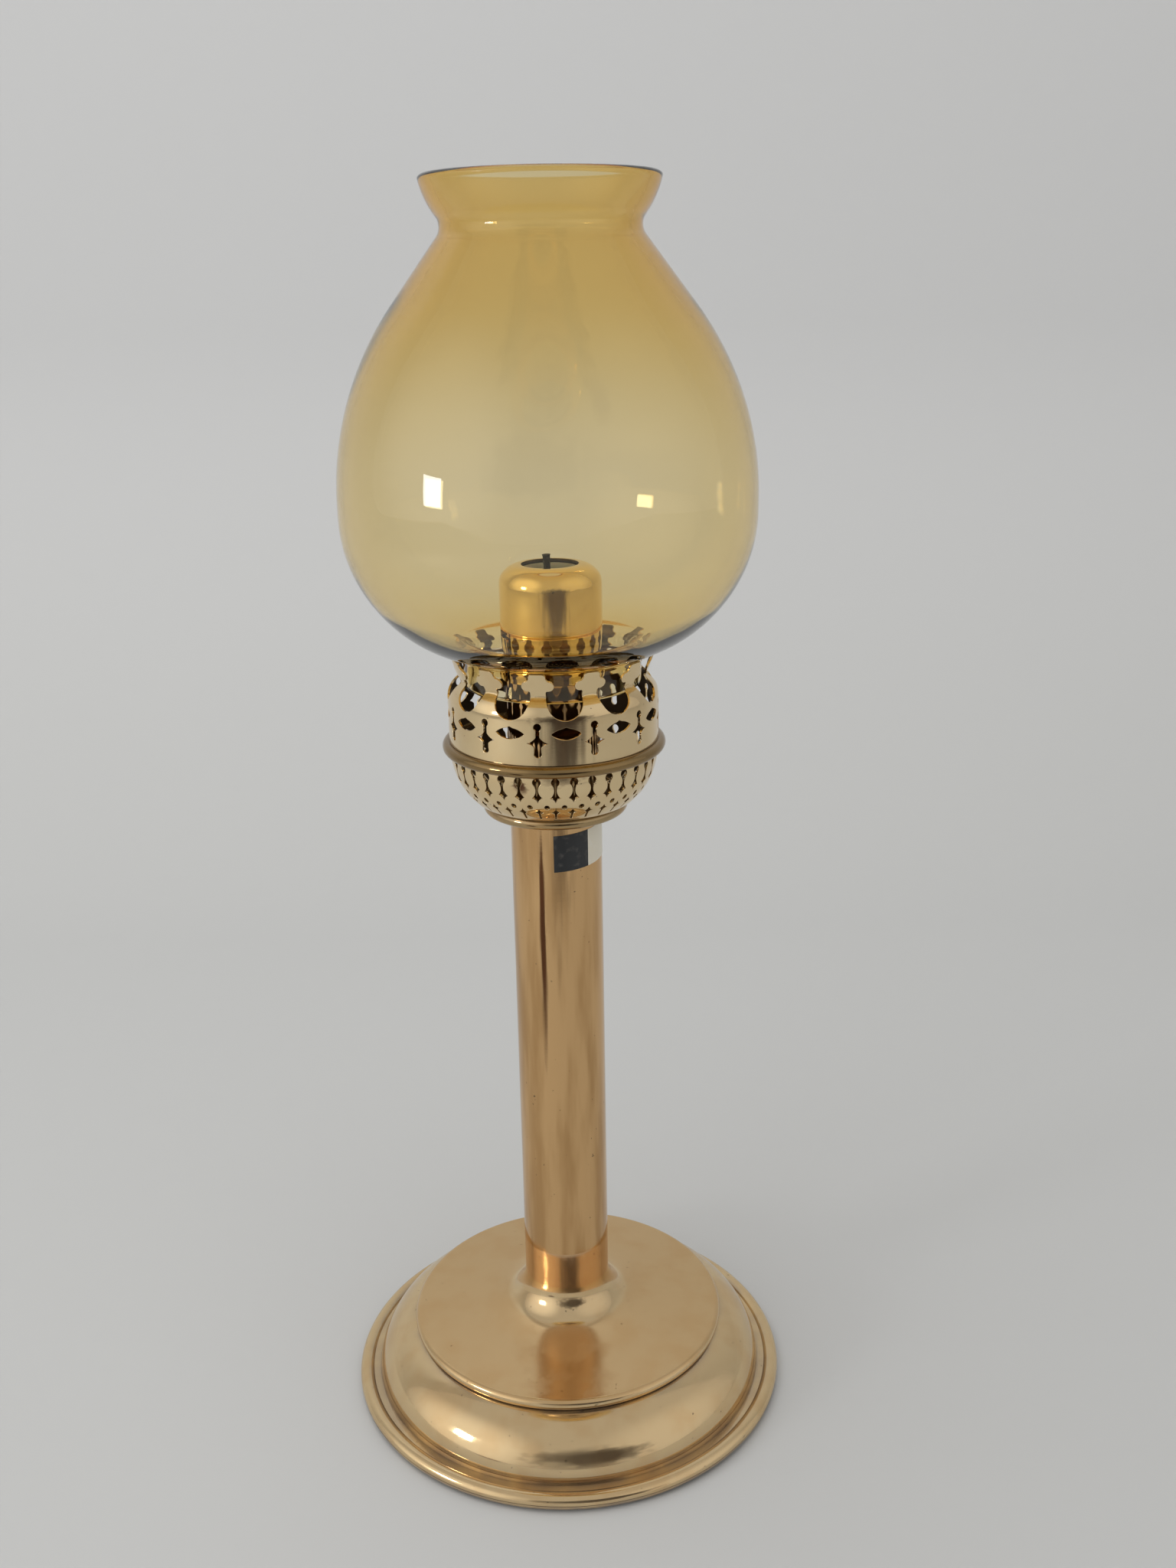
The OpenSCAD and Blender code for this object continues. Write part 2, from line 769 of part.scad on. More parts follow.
module gallery_crown() {
    pitch = 360 / crown_units;
    drop_z = bead_top + drop_rise;
    lens_z = bead_top + lens_rise;
    arch_z = bead_top + crown_band_h;
    r_from = fold[0] - pierce_reach;
    r_to = finger_end[0] + pierce_reach;
    finger_start = fold - sheet_t / 2 * finger_side;
    color(brass) {
        difference() {
            rotate_extrude() crown_profile();
            for (i = [0 : crown_units - 1]) {
                turn = finger_turn + i * pitch;
                pierce(turn, drop_z, r_from, r_to) drop();
                pierce(turn + pitch / 2, lens_z, r_from, r_to) lens();
                pierce(turn + pitch / 2, arch_z, r_from, r_to) arch();
            }
        }
        intersection() {
            rotate_extrude() strip(finger_start, finger_start + finger_len * finger_dir, sheet_t);
            for (i = [0 : crown_units - 1])
                pierce(finger_turn + i * pitch, fold[1], r_from, r_to) finger_tip(finger_seat[1] - fold[1]);
        }
    }
}

// Glass

// Outside of the glass from the neck to the lip, moved inwards by a depth
function shade_side(depth) = concat(
    arc_points(neck_round_c, neck_round_r + depth, 180, 180 - neck_turn),
    arc_points(lower_c, lower_r - depth, -neck_turn, 0),
    arc_points(upper_c, upper_r - depth, 0, throat_lean),
    arc_points(throat_c, throat_r + depth, 180 + throat_lean, 180 - lip_lean),
    arc_points(lip_c, lip_r - depth, -lip_lean, -lip_edge_lean)
);

module shade_profile() {
    edge_r = glass_t / 2;
    neck_z = neck_round_c[1] - neck_len;
    outside = shade_side(0);
    inside = shade_side(glass_t);
    polygon(concat(
        arc_points([neck_r - edge_r, neck_z + edge_r], edge_r, -180, 0, false),
        outside,
        arc_points(lip_c + (lip_r - edge_r) * [cos(lip_edge_lean), -sin(lip_edge_lean)], edge_r,
            -lip_edge_lean, 180 - lip_edge_lean, false),
        [for (i = [len(inside) - 1 : -1 : 0]) inside[i]]
    ));
}

module glass_shade() {
    color(amber)
        rotate_extrude() shade_profile();
}

foot();
base_plate();
felt_pad();
ballast();
stud();
washer();
nut();
ferrule();
candle_tube();
bayonet_pins();
spring();
follower();
candle();
wick();
candle_cap();
gallery_collar();
gallery_bowl();
gallery_bead();
gallery_crown();
glass_shade();
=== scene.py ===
"""Looks of a spring-fed brass candle lamp: its pieces, finishes, stage, lights and camera.

Sizes of the pieces are in millimetres and become metres when a mesh is made. The frame is the solids' own:
the lamp's axis is Z, the floor is Z = 0 and the camera looks along +Y.
"""

from math import acos, asin, atan2, ceil, copysign, cos, degrees, hypot, pi, radians, sin, sqrt, tan

import bmesh
import bpy
import numpy as np
from mathutils import Matrix, Vector
from mathutils.geometry import delaunay_2d_cdt


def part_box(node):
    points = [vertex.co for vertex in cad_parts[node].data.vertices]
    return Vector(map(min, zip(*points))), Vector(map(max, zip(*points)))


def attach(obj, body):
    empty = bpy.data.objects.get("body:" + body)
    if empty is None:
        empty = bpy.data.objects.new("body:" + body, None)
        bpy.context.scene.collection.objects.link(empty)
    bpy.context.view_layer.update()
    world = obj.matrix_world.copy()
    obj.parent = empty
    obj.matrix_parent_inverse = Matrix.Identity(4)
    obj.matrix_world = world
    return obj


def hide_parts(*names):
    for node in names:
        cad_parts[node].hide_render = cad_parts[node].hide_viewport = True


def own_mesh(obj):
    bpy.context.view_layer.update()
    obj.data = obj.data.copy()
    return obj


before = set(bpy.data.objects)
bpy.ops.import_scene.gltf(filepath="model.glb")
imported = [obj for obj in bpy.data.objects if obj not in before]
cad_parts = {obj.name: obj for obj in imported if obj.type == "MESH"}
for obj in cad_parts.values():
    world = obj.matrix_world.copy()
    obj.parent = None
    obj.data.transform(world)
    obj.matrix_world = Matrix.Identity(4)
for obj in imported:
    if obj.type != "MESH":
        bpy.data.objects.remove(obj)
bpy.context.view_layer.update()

MM = 0.001


def node_box(node):
    """Lowest and highest corner of a solid, in millimetres."""
    low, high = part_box(node)
    return low / MM, high / MM


# Foot

RIM_R = 2.4
RIM_LIFT = 0.2
RIM_SEAM = 0.15
GROOVE_W = 1.6
GROOVE_TURN = 37
SKIRT_R = 17
SKIRT_TURN = 72
DECK_BEAD_R = 1.75
DECK_BEAD_SET = 1.2
RISER_TURN = 66
COVE_R = 10.7
COVE_SLOPE = 13.5
COVE_BLEND_SLOPE = 38
COVE_BLEND_R = 30
FOOT_WALL = 1.2
STUD_HOLE_R = 3.2
# Depths under the foot's top between which its deck is satin
DECK_SATIN = (13.5, 9.5)

# Gallery

SHEET = 0.7
EDGE = 0.12
SHEET_GRID = 1.1
EDGE_STEPS = 180
SEAM_STEP = 2
SEAM_DODGE = 0.3
BOWL_SIDE_R = 17.8
BOWL_H = 14.5
BOWL_UNITS = 36
BOWL_TURN = -90
BOWL_BEND_TURN = 2
BOWL_BEND_IN = 1
BOWL_LIP_FROM = 0.5
BOWL_LIP_OVER = 0.1
KEYHOLE_HEAD_R = 1.1
KEYHOLE_LEN = 4.6
KEYHOLE_SLOT_W = 0.6
KEYHOLE_STAR = 1.4
KEYHOLE_DROP = 0.9
DOT_R = 0.7
DOT_DROP = 8.5
LOW_STAR = 1.2
LOW_STAR_DROP = 10.3
LOW_SLOT_W = 0.5
LOW_SLOT_LEN = 2.6
STAR_PINCH = 3
SLEEVE_R = 14.3

CROWN_R = 29.3
CROWN_BAND_H = 12.3
CROWN_UNITS = 12
CROWN_TURN = -98.6
SHOULDER_R = 6.3
SHOULDER_TURN = 64.8
FOLD_BEND = 0.7
FINGER_LEN = 7.5
FINGER_LEAN = 21
FINGER_STEM_W = 4.2
FINGER_TIP_W = 8.6
FINGER_KNOB_W = 4.6
FINGER_KNOB_R = 1
LOBE_SHARE = 0.42
LOBE_PLACE = 0.5
LOBE_FLARE_W = 0.25
LOBE_FLARE_H = 0.3
KNOB_FROM = 200
ARCH_W = 9.6
ARCH_UNDER = 0.5
DROP_RISE = 6.3
DROP_HALF_W = 2.8
DROP_HEAD_R = 1
DROP_HEAD_RISE = 4.4
DROP_NECK_W = 1
DROP_WAIST_W = 1.8
DROP_FOOT_R = 1
DROP_FOOT_FALL = 2.9
LENS_RISE = 8.7
LENS_W = 8
LENS_H = 3.1
LENS_POINT_W = 1.8
LENS_POINT_H = 0.7
# Point of the crown's upper edge at which its unrolled sheet starts, clear of the holes
CROWN_SEAM_POINT = 7

# Cap, candle and spring

CAP_WALL = 0.8
CAP_ROUND_R = 5.7
CAP_HOLE_R = 7.8
CAP_PIN_AT = 10.8
CAP_SLOT_W = 2.4
CAP_ENTRY_TURN = -148
CAP_BAYONET_TURN = 25
CAP_EDGE = 1.2 * EDGE
CAP_EDGE_STEPS = 24
CAP_SLOT_STEPS = 8
CAP_TOP_STEPS = 120
CANDLE_BEVEL = 3.2
CANDLE_FOOT_BEVEL = 0.5
CANDLE_ROUND_R = 0.8
CANDLE_ROUND_IN = 0.2
CANDLE_EASE = 0.6
CANDLE_FALL = 0.3
POOL_R = 7.2
POOL_DEEP = 1.8
# Wax that climbs the wick, as distances out from the wick's side and up from the pool
CLIMB_FROM = 0.9
CLIMB = ((0.45, 0.25), (0.1, 0.7))
WICK_R = 0.9
WICK_ASIDE = 0.7
WICK_LEAN = 0.25
WICK_FLARE = 0.2
WICK_END = 0.2
WICK_STEPS = 40
# Size of each wave of the wick, and its radians over the burnt part or per step
WICK_SWAY = (0.15, 5)
WICK_RIPPLE = (0.1, 2.3)
WIRE_R = 0.6
SPRING_TURNS = 20
SPRING_STEPS = 28
SPRING_END_PITCH = 1.8

# Glass

GLASS_T = 2
NECK_R = 24.6
NECK_LEN = 6.4
NECK_ROUND_R = 3
LOWER_R = 39.3
BELLY_BAND = 3.3
UPPER_R = 82.2
THROAT_LEAN = 37.2
THROAT_R = 25.9
THROAT_ROUND_R = 4
LIP_LEAN = 37
LIP_R = 23.5
LIP_EDGE_LEAN = 13
LIP_ROUND = 0.9
# Waves of the blown wall, as their size, count round the axis and height per radian
GLASS_WAVES = ((0.11, 3, 19), (0.07, 5, -13))
WAVES_FROM = 236
WAVES_RISE = 12
# Wall of the glass at shares of the way from its neck to its lip
GLASS_WALLS = (
    (0, 2.0), (0.03, 2.5), (0.07, 2.7), (0.11, 2.3), (0.16, 1.85), (0.22, 1.58), (0.35, 1.42),
    (0.5, 1.5), (0.6, 1.85), (0.7, 2.4), (0.8, 2.9), (0.9, 3.1), (1, 3.1),
)


# Outlines and meshes

BAR_CREASE = 50


def arc(centre, radius, start, end, step=4):
    """Points along an arc from one angle to another, in degrees."""
    count = max(2, ceil(abs(end - start) / step))
    angles = [radians(start + (end - start) * i / count) for i in range(count + 1)]
    return [(centre[0] + radius * cos(a), centre[1] + radius * sin(a)) for a in angles]


def mirrored(half):
    """Closed loop from its right half, whose first and last points lie on the middle line."""
    return half + [(-x, y) for x, y in reversed(half[1:-1])]


def make_object(name, vertices, faces, material):
    """Smooth mesh object from points in millimetres."""
    mesh = bpy.data.meshes.new(name)
    mesh.from_pydata([Vector(v) * MM for v in vertices], [], faces)
    mesh.materials.append(material)
    mesh.shade_smooth()
    piece = bpy.data.objects.new(name, mesh)
    bpy.context.scene.collection.objects.link(piece)
    return piece


def lathe(name, outline, material, segments=240, crease=30):
    """Closed outline of (radius, height) points, counter-clockwise, turned round the axis."""
    count = len(outline)
    vertices = []
    for j in range(segments):
        turn = 2 * pi * j / segments
        vertices += [(r * cos(turn), r * sin(turn), z) for r, z in outline]
    faces = []
    for j in range(segments):
        here, there = j * count, (j + 1) % segments * count
        for i in range(count):
            k = (i + 1) % count
            if outline[i][0] == 0 and outline[k][0] == 0:
                continue
            faces.append((here + i, there + i, there + k, here + k))
    piece = make_object(name, vertices, faces, material)
    face_outward(piece, weld=True)
    piece.data.set_sharp_from_angle(angle=radians(crease))
    return piece


def face_outward(piece, weld=False):
    """Turns every face of a closed mesh outwards, after joining points that coincide where weld is set."""
    built = bmesh.new()
    built.from_mesh(piece.data)
    if weld:
        bmesh.ops.remove_doubles(built, verts=built.verts, dist=1e-7)
        bmesh.ops.dissolve_degenerate(built, edges=built.edges, dist=1e-8)
    bmesh.ops.recalc_face_normals(built, faces=built.faces)
    built.to_mesh(piece.data)
    built.free()


def sweep(name, rings, material):
    """Closed bar whose skin joins rings of points in order, with a face over each end."""
    sides = len(rings[0])
    faces = []
    for i in range(len(rings) - 1):
        for k in range(sides):
            a, b = i * sides + k, i * sides + (k + 1) % sides
            faces.append((a, b, b + sides, a + sides))
    faces.append(tuple(reversed(range(sides))))
    faces.append(tuple(range((len(rings) - 1) * sides, len(rings) * sides)))
    piece = make_object(name, [point for ring in rings for point in ring], faces, material)
    piece.data.set_sharp_from_angle(angle=radians(BAR_CREASE))
    return piece


def tube_along(name, path, radii, material, sides):
    """Round bar along a path of points, with one radius for each."""
    points = [Vector(p) for p in path]
    turns = [2 * pi * k / sides for k in range(sides)]
    side = Vector((1, 0, 0))
    rings = []
    for i, (point, radius) in enumerate(zip(points, radii)):
        along = (points[min(i + 1, len(points) - 1)] - points[max(i - 1, 0)]).normalized()
        side = (side - along * side.dot(along)).normalized()
        across = along.cross(side)
        rings.append([point + radius * (cos(a) * side + sin(a) * across) for a in turns])
    return sweep(name, rings, material)


class Side:
    """Middle line of a sheet that stands round the axis, followed upwards from its lower edge."""

    def __init__(self, points):
        self.r, self.z = np.array(points).T
        steps = np.hypot(np.diff(self.r), np.diff(self.z))
        self.s = np.concatenate([[0], np.cumsum(steps)])
        self.length = self.s[-1]
        self.along_r = np.gradient(self.r, self.s)
        self.along_z = np.gradient(self.z, self.s)

    def radius(self, s):
        return np.interp(s, self.s, self.r)

    def reach(self, z):
        """Distance along the middle line at which a height is passed."""
        return float(np.interp(z, np.maximum.accumulate(self.z), self.s))

    def place(self, turn, s, depth):
        """Point at a turn in radians, depth outside the sheet's middle, and the ways out and along there."""
        r, z = self.radius(s), np.interp(s, self.s, self.z)
        tr, tz = np.interp(s, self.s, self.along_r), np.interp(s, self.s, self.along_z)
        size = hypot(tr, tz)
        nr, nz = tz / size, -tr / size
        out = Vector((nr * cos(turn), nr * sin(turn), nz))
        along = Vector((-nz * cos(turn), -nz * sin(turn), nr))
        foot = Vector((r * cos(turn), r * sin(turn), z))
        return foot + depth * out, out, along

    def wrap(self, shape, turn, height):
        """Loop on the sheet from a flat shape pushed through it: x is sideways and y is upwards."""
        loop = []
        for x, y in shape:
            s = self.reach(height + y)
            loop.append((radians(turn) + asin(x / self.radius(s)), s))
        return loop


def inside(points, loop):
    """Which of the points lie in a closed loop, by counting crossings."""
    x, y = points[:, 0][:, None], points[:, 1][:, None]
    ax, ay = np.array(loop).T
    bx, by = np.roll(ax, -1), np.roll(ay, -1)
    crosses = (ay > y) != (by > y)
    with np.errstate(divide="ignore", invalid="ignore"):
        at = ax + (y - ay) * (bx - ax) / (by - ay)
    return np.count_nonzero(crosses & (x < at), axis=1) % 2 == 1


class PiercedSheet:
    """Sheet of even thickness round the axis with rounded edges and holes cut through it.

    An edge or hole is a loop of (turn in radians, distance along the side). Holes and the lower edge are
    followed with the metal on the left, and the upper edge with the metal on the right.
    """

    def __init__(self, side, thickness, edge):
        self.side = side
        self.half = thickness / 2
        self.edge = edge
        self.scale = float(side.r.mean())
        self.vertices, self.normals, self.faces = [], [], []
        self.index = {}

    def add(self, point, normal):
        key = (round(point.x, 4), round(point.y, 4), round(point.z, 4))
        if key not in self.index:
            self.index[key] = len(self.vertices)
            self.vertices.append(point)
            self.normals.append(normal)
        return self.index[key]

    def set_back(self, loop, closed):
        """Loop moved into the metal by the edge's rounding, and the directions it moved in."""
        if closed:
            before, after = loop[-1:] + loop[:-1], loop[1:] + loop[:1]
        else:
            period = loop[-1][0] - loop[0][0]
            before = [(loop[-2][0] - period, loop[-2][1])] + loop[:-1]
            after = loop[1:] + [(loop[1][0] + period, loop[1][1])]
        moved, ways = [], []
        for (turn, s), one, two in zip(loop, before, after):
            r = self.side.radius(s)
            across = Vector((0, 0))
            for way in (Vector(((turn - one[0]) * r, s - one[1])), Vector(((two[0] - turn) * r, two[1] - s))):
                if way.length > 1e-9:
                    across += Vector((-way.y, way.x)).normalized()
            across = across.normalized() if across.length > 1e-6 else Vector((0, 1))
            moved.append((turn + self.edge * across.x / r, s + self.edge * across.y))
            ways.append(across)
        return moved, ways

    def wall(self, loop, backs, ways, closed):
        """Rounded wall through the sheet along a loop, from the same loop set back."""
        depth = self.half - self.edge
        rings = []
        for (turn, s), back, way in zip(loop, backs, ways):
            (top, out, _), (low, _, _) = (self.side.place(*back, d) for d in (self.half, -self.half))
            (upper, _, along), (lower, _, _) = (self.side.place(turn, s, d) for d in (depth, -depth))
            round_way = Vector((-sin(turn), cos(turn), 0))
            face = (-way.x * round_way - way.y * along).normalized()
            normals = (out, face, face, -out)
            rings.append([self.add(*corner) for corner in zip((top, upper, lower, low), normals)])
        pairs = zip(rings, rings[1:] + rings[:1]) if closed else zip(rings, rings[1:])
        for a, b in pairs:
            for k in range(3):
                self.faces.append((a[k], a[k + 1], b[k + 1], b[k]))

    def fill(self, lower, upper, holes, sway):
        """Both faces of the sheet between its two edges, less the holes."""
        first, last = lower[0][0], lower[-1][0]
        count = ceil(2 * self.side.length / SHEET_GRID)
        seam = [(sway(s), s) for s in np.linspace(lower[0][1], upper[0][1], count)[1:-1]]
        rise = [(last + aside, s) for aside, s in seam]
        fall = [(first + aside, s) for aside, s in reversed(seam)]
        loops = [lower + rise + upper[::-1] + fall] + holes
        flat = [[(turn * self.scale, s) for turn, s in loop] for loop in loops]

        def on_metal(spots):
            kept = inside(spots, flat[0])
            for loop in flat[1:]:
                kept &= ~inside(spots, loop)
            return kept

        turns = np.arange(first * self.scale, last * self.scale, SHEET_GRID)
        rows = np.arange(0, self.side.length, SHEET_GRID)
        spots = np.array([(t, s) for t in turns for s in rows])
        spots = spots[on_metal(spots)]
        rim = np.array([p for loop in flat for p in loop])
        gaps = np.array([np.min(np.hypot(*(rim - p).T)) for p in spots])
        points, edges = [], []
        for loop in flat:
            start = len(points)
            points += loop
            edges += [(start + i, start + (i + 1) % len(loop)) for i in range(len(loop))]
        points += [tuple(p) for p in spots[gaps > SHEET_GRID / 2]]
        spread = delaunay_2d_cdt([Vector(p) for p in points], edges, [], 0, 1e-6)
        rounded, _, triangles, sources, _, _ = spread
        found = np.array([points[own[0]] if own else tuple(p) for p, own in zip(rounded, sources)])
        keep = on_metal(np.array([found[list(t)].mean(axis=0) for t in triangles]))
        upper_side, lower_side = [], []
        for x, s in found:
            for depth, side in ((self.half, upper_side), (-self.half, lower_side)):
                point, out, _ = self.side.place(x / self.scale, s, depth)
                side.append(self.add(point, out if depth > 0 else -out))
        for triangle, kept in zip(triangles, keep):
            if kept:
                self.faces.append(tuple(upper_side[i] for i in triangle))
                self.faces.append(tuple(lower_side[i] for i in reversed(triangle)))

    def build(self, name, lower, upper, holes, material, sway=lambda s: 0):
        """Mesh object of the sheet. Edges run once round, and holes are clockwise seen from outside.

        Sway gives how far the unrolled sheet's seam steps aside, in radians, at a distance along the side.
        """
        set_backs = []
        for loop, closed in [(hole, True) for hole in holes] + [(lower, False), (upper[::-1], False)]:
            backs, ways = self.set_back(loop, closed)
            self.wall(loop, backs, ways, closed)
            set_backs.append(backs)
        *hole_backs, lower_back, falling = set_backs
        self.fill(lower_back, falling[::-1], hole_backs, sway)
        piece = make_object(name, self.vertices, self.faces, material)
        face_outward(piece)
        piece.data.normals_split_custom_set_from_vertices(self.normals)
        return piece


def ring_edge(turn, s, count):
    """Plain edge that runs once round from a turn in degrees."""
    return [(radians(turn + 360 * i / count), s) for i in range(count + 1)]


# Finishes


class Nodes:
    """Node tree of a finish or of the surroundings, with short calls for its nodes."""

    def __init__(self, tree):
        self.nodes, self.links = tree.nodes, tree.links

    def feed(self, socket, value):
        """Gives a socket another node's output, a number or a colour."""
        if isinstance(value, bpy.types.NodeSocket):
            self.links.new(value, socket)
        else:
            socket.default_value = value

    def make(self, kind, inputs, output, **settings):
        """Output of a new node whose inputs are fed."""
        made = self.nodes.new(kind)
        for key, value in settings.items():
            setattr(made, key, value)
        for socket, value in inputs.items():
            self.feed(made.inputs[socket], value)
        return made.outputs[output]

    def math(self, operation, a, b, clamp=True):
        return self.make("ShaderNodeMath", {0: a, 1: b}, 0, operation=operation, use_clamp=clamp)

    def vector(self, operation, a, b=(0, 0, 0)):
        output = "Value" if operation in ("LENGTH", "DOT_PRODUCT") else "Vector"
        return self.make("ShaderNodeVectorMath", {0: a, 1: b}, output, operation=operation)

    def ramp(self, value, low, high, start=0.0, end=1.0):
        """Value spread from low and high to start and end, held there outside them."""
        spread = {"Value": value, "From Min": low, "From Max": high, "To Min": start, "To Max": end}
        return self.make("ShaderNodeMapRange", spread, "Result", interpolation_type="SMOOTHSTEP")


class Finish(Nodes):
    """Material with a procedural node tree. Places are in metres in the lamp's own frame."""

    def __init__(self, name):
        self.material = bpy.data.materials.new(name)
        self.material.use_nodes = True
        super().__init__(self.material.node_tree)
        places = self.nodes.new("ShaderNodeTexCoord").outputs
        self.place, self.facing = places["Object"], places["Normal"]

    def set(self, **values):
        """Feeds the surface shader's sockets; an underscore stands for a space."""
        for name, value in values.items():
            self.feed(self.nodes["Principled BSDF"].inputs[name.replace("_", " ")], value)

    def stretch(self, x, y, z):
        """Places with each direction multiplied, so that a texture is drawn out along the small ones."""
        return self.vector("MULTIPLY", self.place, (x, y, z))

    def from_axis(self):
        return self.vector("LENGTH", self.stretch(1, 1, 0))

    def height(self):
        return self.make("ShaderNodeSeparateXYZ", {0: self.place}, "Z")

    def turned(self):
        """Places as (distance from the axis, 0, height), on which a texture makes lines round the axis."""
        return self.make("ShaderNodeCombineXYZ", {"X": self.from_axis(), "Z": self.height()}, 0)

    def noise(self, size, detail=4, place=None):
        """Noise whose lumps measure about size metres."""
        lumps = {"Vector": place or self.place, "Scale": 1 / size, "Detail": detail}
        return self.make("ShaderNodeTexNoise", lumps, "Fac")

    def blend(self, factor, one, two):
        """Colour between two colours."""
        return self.make("ShaderNodeMix", {"Factor": factor, 6: one, 7: two}, 2, data_type="RGBA")

    def over(self, under, cover, share, top):
        """Colour under a share of another one where cover is 1."""
        return self.blend(self.math("MULTIPLY", cover, share), under, top)

    def raised(self, value, cover, share):
        """Value with a share added where cover is 1."""
        return self.math("ADD", value, self.math("MULTIPLY", cover, share))

    def inward(self):
        """1 where a face looks towards the axis and 0 where it looks away from it."""
        away = self.vector("NORMALIZE", self.stretch(1, 1, 0))
        return self.ramp(self.vector("DOT_PRODUCT", away, self.facing), -0.1, -0.5)

    def between(self, low, high, soft=0.0006):
        """1 between two heights and 0 outside them."""
        z = self.height()
        return self.math("MULTIPLY", self.ramp(z, low - soft, low), self.ramp(z, high + soft, high))

    def crevice(self, reach, clear=0.72, shut=0.18):
        """How shut in a place is: 0 in the open and 1 in a corner narrower than reach."""
        open_share = self.make("ShaderNodeAmbientOcclusion", {"Distance": reach}, "AO", samples=6)
        return self.ramp(open_share, clear, shut)

    def bump(self, height, distance, below=None):
        """Surface direction bent by a height, on top of another bump."""
        bent = {"Height": height, "Distance": distance, "Strength": 1.0}
        if below:
            bent["Normal"] = below
        return self.make("ShaderNodeBump", bent, "Normal")


BRASS_TONE = (0.75, 0.56, 0.315, 1)
BRASS_PATINA = (0.62, 0.37, 0.15, 1)
# Grey-brown of stains, also laid as painted shade where a place is shut in
BRASS_STAIN_AND_SHADE = (0.42, 0.33, 0.25, 1)
# Grime colour, also laid as painted shade in grooves, between parts and by the floor
BRASS_GRIME_AND_SHADE = (0.12, 0.085, 0.06, 1)
# Near-black of soot, also painted shade on faces turned towards the axis
BRASS_SOOT_AND_SHADE = (0.055, 0.034, 0.022, 1)
# Marks on brass: their sizes and depths in metres, the share of the metal they hide and the dullness they add
CLOUD = 0.011
SMEAR = 0.006
SPOT = 0.0013
BLOTCH = 0.014
GRIME_AND_SHADE_REACH = 0.0022
STAIN_AND_SHADE_REACH = 0.009
GRIME_AND_SHADE_COVER = 0.85
SPOT_COVER = 0.7
SATIN_COVER = 0.4
GRIME_DULL = 0.3
SOOT_DULL = 0.35
SATIN_DULL = 0.04
TURNING_LINE = 0.0004
TURNING_DEEP = 0.0000025
SPIN_WAVE = 0.016
SPIN_DEEP = 0.00005
# Amber glass: the tint and density of its depth, and the length and depth of its waves in metres
GLASS_TINT = (0.932, 0.712, 0.01, 1)
GLASS_DENSITY = 270
GLASS_WAVE = 0.022
GLASS_WAVE_DEEP = 0.00005


def brass(name, tone=BRASS_TONE, patina=0.3, polish=0.1, haze=0.08, stain_and_shade=0.0, soot=0.0, satin=None, dust=0.0,
          brushed=0.0, worn=BRASS_PATINA, cloud=CLOUD, stretch=(1, 1, 1)):
    """Spun brass: clear metal, clouds of patina, stains and painted shade by the grooves, grime and painted
    shade in them and turning lines.

    Soot and painted shade darken what looks towards the axis. Satin is a pair of heights between which the
    metal is duller.
    Dust is the share that a thin film of it hides, and brushed is how far the turning lines draw out gloss.
    """
    finish = Finish(name)
    drawn = finish.stretch(*stretch)
    clouds = finish.ramp(finish.noise(cloud, detail=3, place=drawn), 0.42, 0.68)
    smears = finish.ramp(finish.noise(SMEAR, detail=3, place=drawn), 0.4, 0.7)
    corners = finish.crevice(GRIME_AND_SHADE_REACH)
    spots = finish.ramp(finish.noise(SPOT, detail=1), 0.772, 0.785)
    metal = finish.over(tone, clouds, patina, worn)
    # Stains and painted shade: blotched grey-brown wherever ambient occlusion finds the place shut in within
    # about a centimetre
    if stain_and_shade:
        blotches = finish.ramp(finish.noise(BLOTCH, detail=5), 0.3, 0.58)
        near = finish.math("MULTIPLY", finish.crevice(STAIN_AND_SHADE_REACH, 0.92, 0.5), blotches)
        metal = finish.over(metal, near, stain_and_shade, BRASS_STAIN_AND_SHADE)
    # Grime and painted shade: dark colour wherever ambient occlusion finds a tight corner, a groove or the
    # floor close by
    metal = finish.over(metal, corners, GRIME_AND_SHADE_COVER, BRASS_GRIME_AND_SHADE)
    metal = finish.over(metal, spots, SPOT_COVER, BRASS_GRIME_AND_SHADE)
    dull = finish.ramp(smears, 0, 1, polish, polish + haze)
    dull = finish.raised(dull, corners, GRIME_DULL)
    # Soot and painted shade: faces turned towards the axis are painted near black
    if soot:
        soot_and_shade_cover = finish.math("MULTIPLY", finish.inward(), soot)
        metal = finish.blend(soot_and_shade_cover, metal, BRASS_SOOT_AND_SHADE)
        dull = finish.raised(dull, soot_and_shade_cover, SOOT_DULL)
    if satin:
        dulled = finish.between(*satin)
        metal = finish.over(metal, dulled, SATIN_COVER, BRASS_PATINA)
        dull = finish.raised(dull, dulled, SATIN_DULL)
    finish.set(Base_Color=metal, Metallic=1 - dust, Roughness=dull)
    if brushed:
        round_axis = finish.make("ShaderNodeTangent", {}, "Tangent", direction_type="RADIAL", axis="Z")
        finish.set(Anisotropic=brushed, Tangent=round_axis)
    lines = finish.noise(TURNING_LINE, detail=2, place=finish.turned())
    waves = finish.bump(finish.noise(SPIN_WAVE, detail=1), SPIN_DEEP)
    finish.set(Normal=finish.bump(lines, TURNING_DEEP, below=waves))
    return finish.material


def amber_glass():
    """Blown glass, amber in its depth, with slow waves from blowing."""
    finish = Finish("amber_glass")
    finish.set(Base_Color=(1, 1, 1, 1), Roughness=0.0, IOR=1.5, Transmission_Weight=1.0)
    waves = finish.noise(GLASS_WAVE, detail=1, place=finish.stretch(1, 1, 0.6))
    finish.set(Normal=finish.bump(waves, GLASS_WAVE_DEEP))
    amber = {"Color": GLASS_TINT, "Density": GLASS_DENSITY}
    depth = finish.make("ShaderNodeVolumeAbsorption", amber, "Volume")
    finish.feed(finish.nodes["Material Output"].inputs["Volume"], depth)
    return finish.material


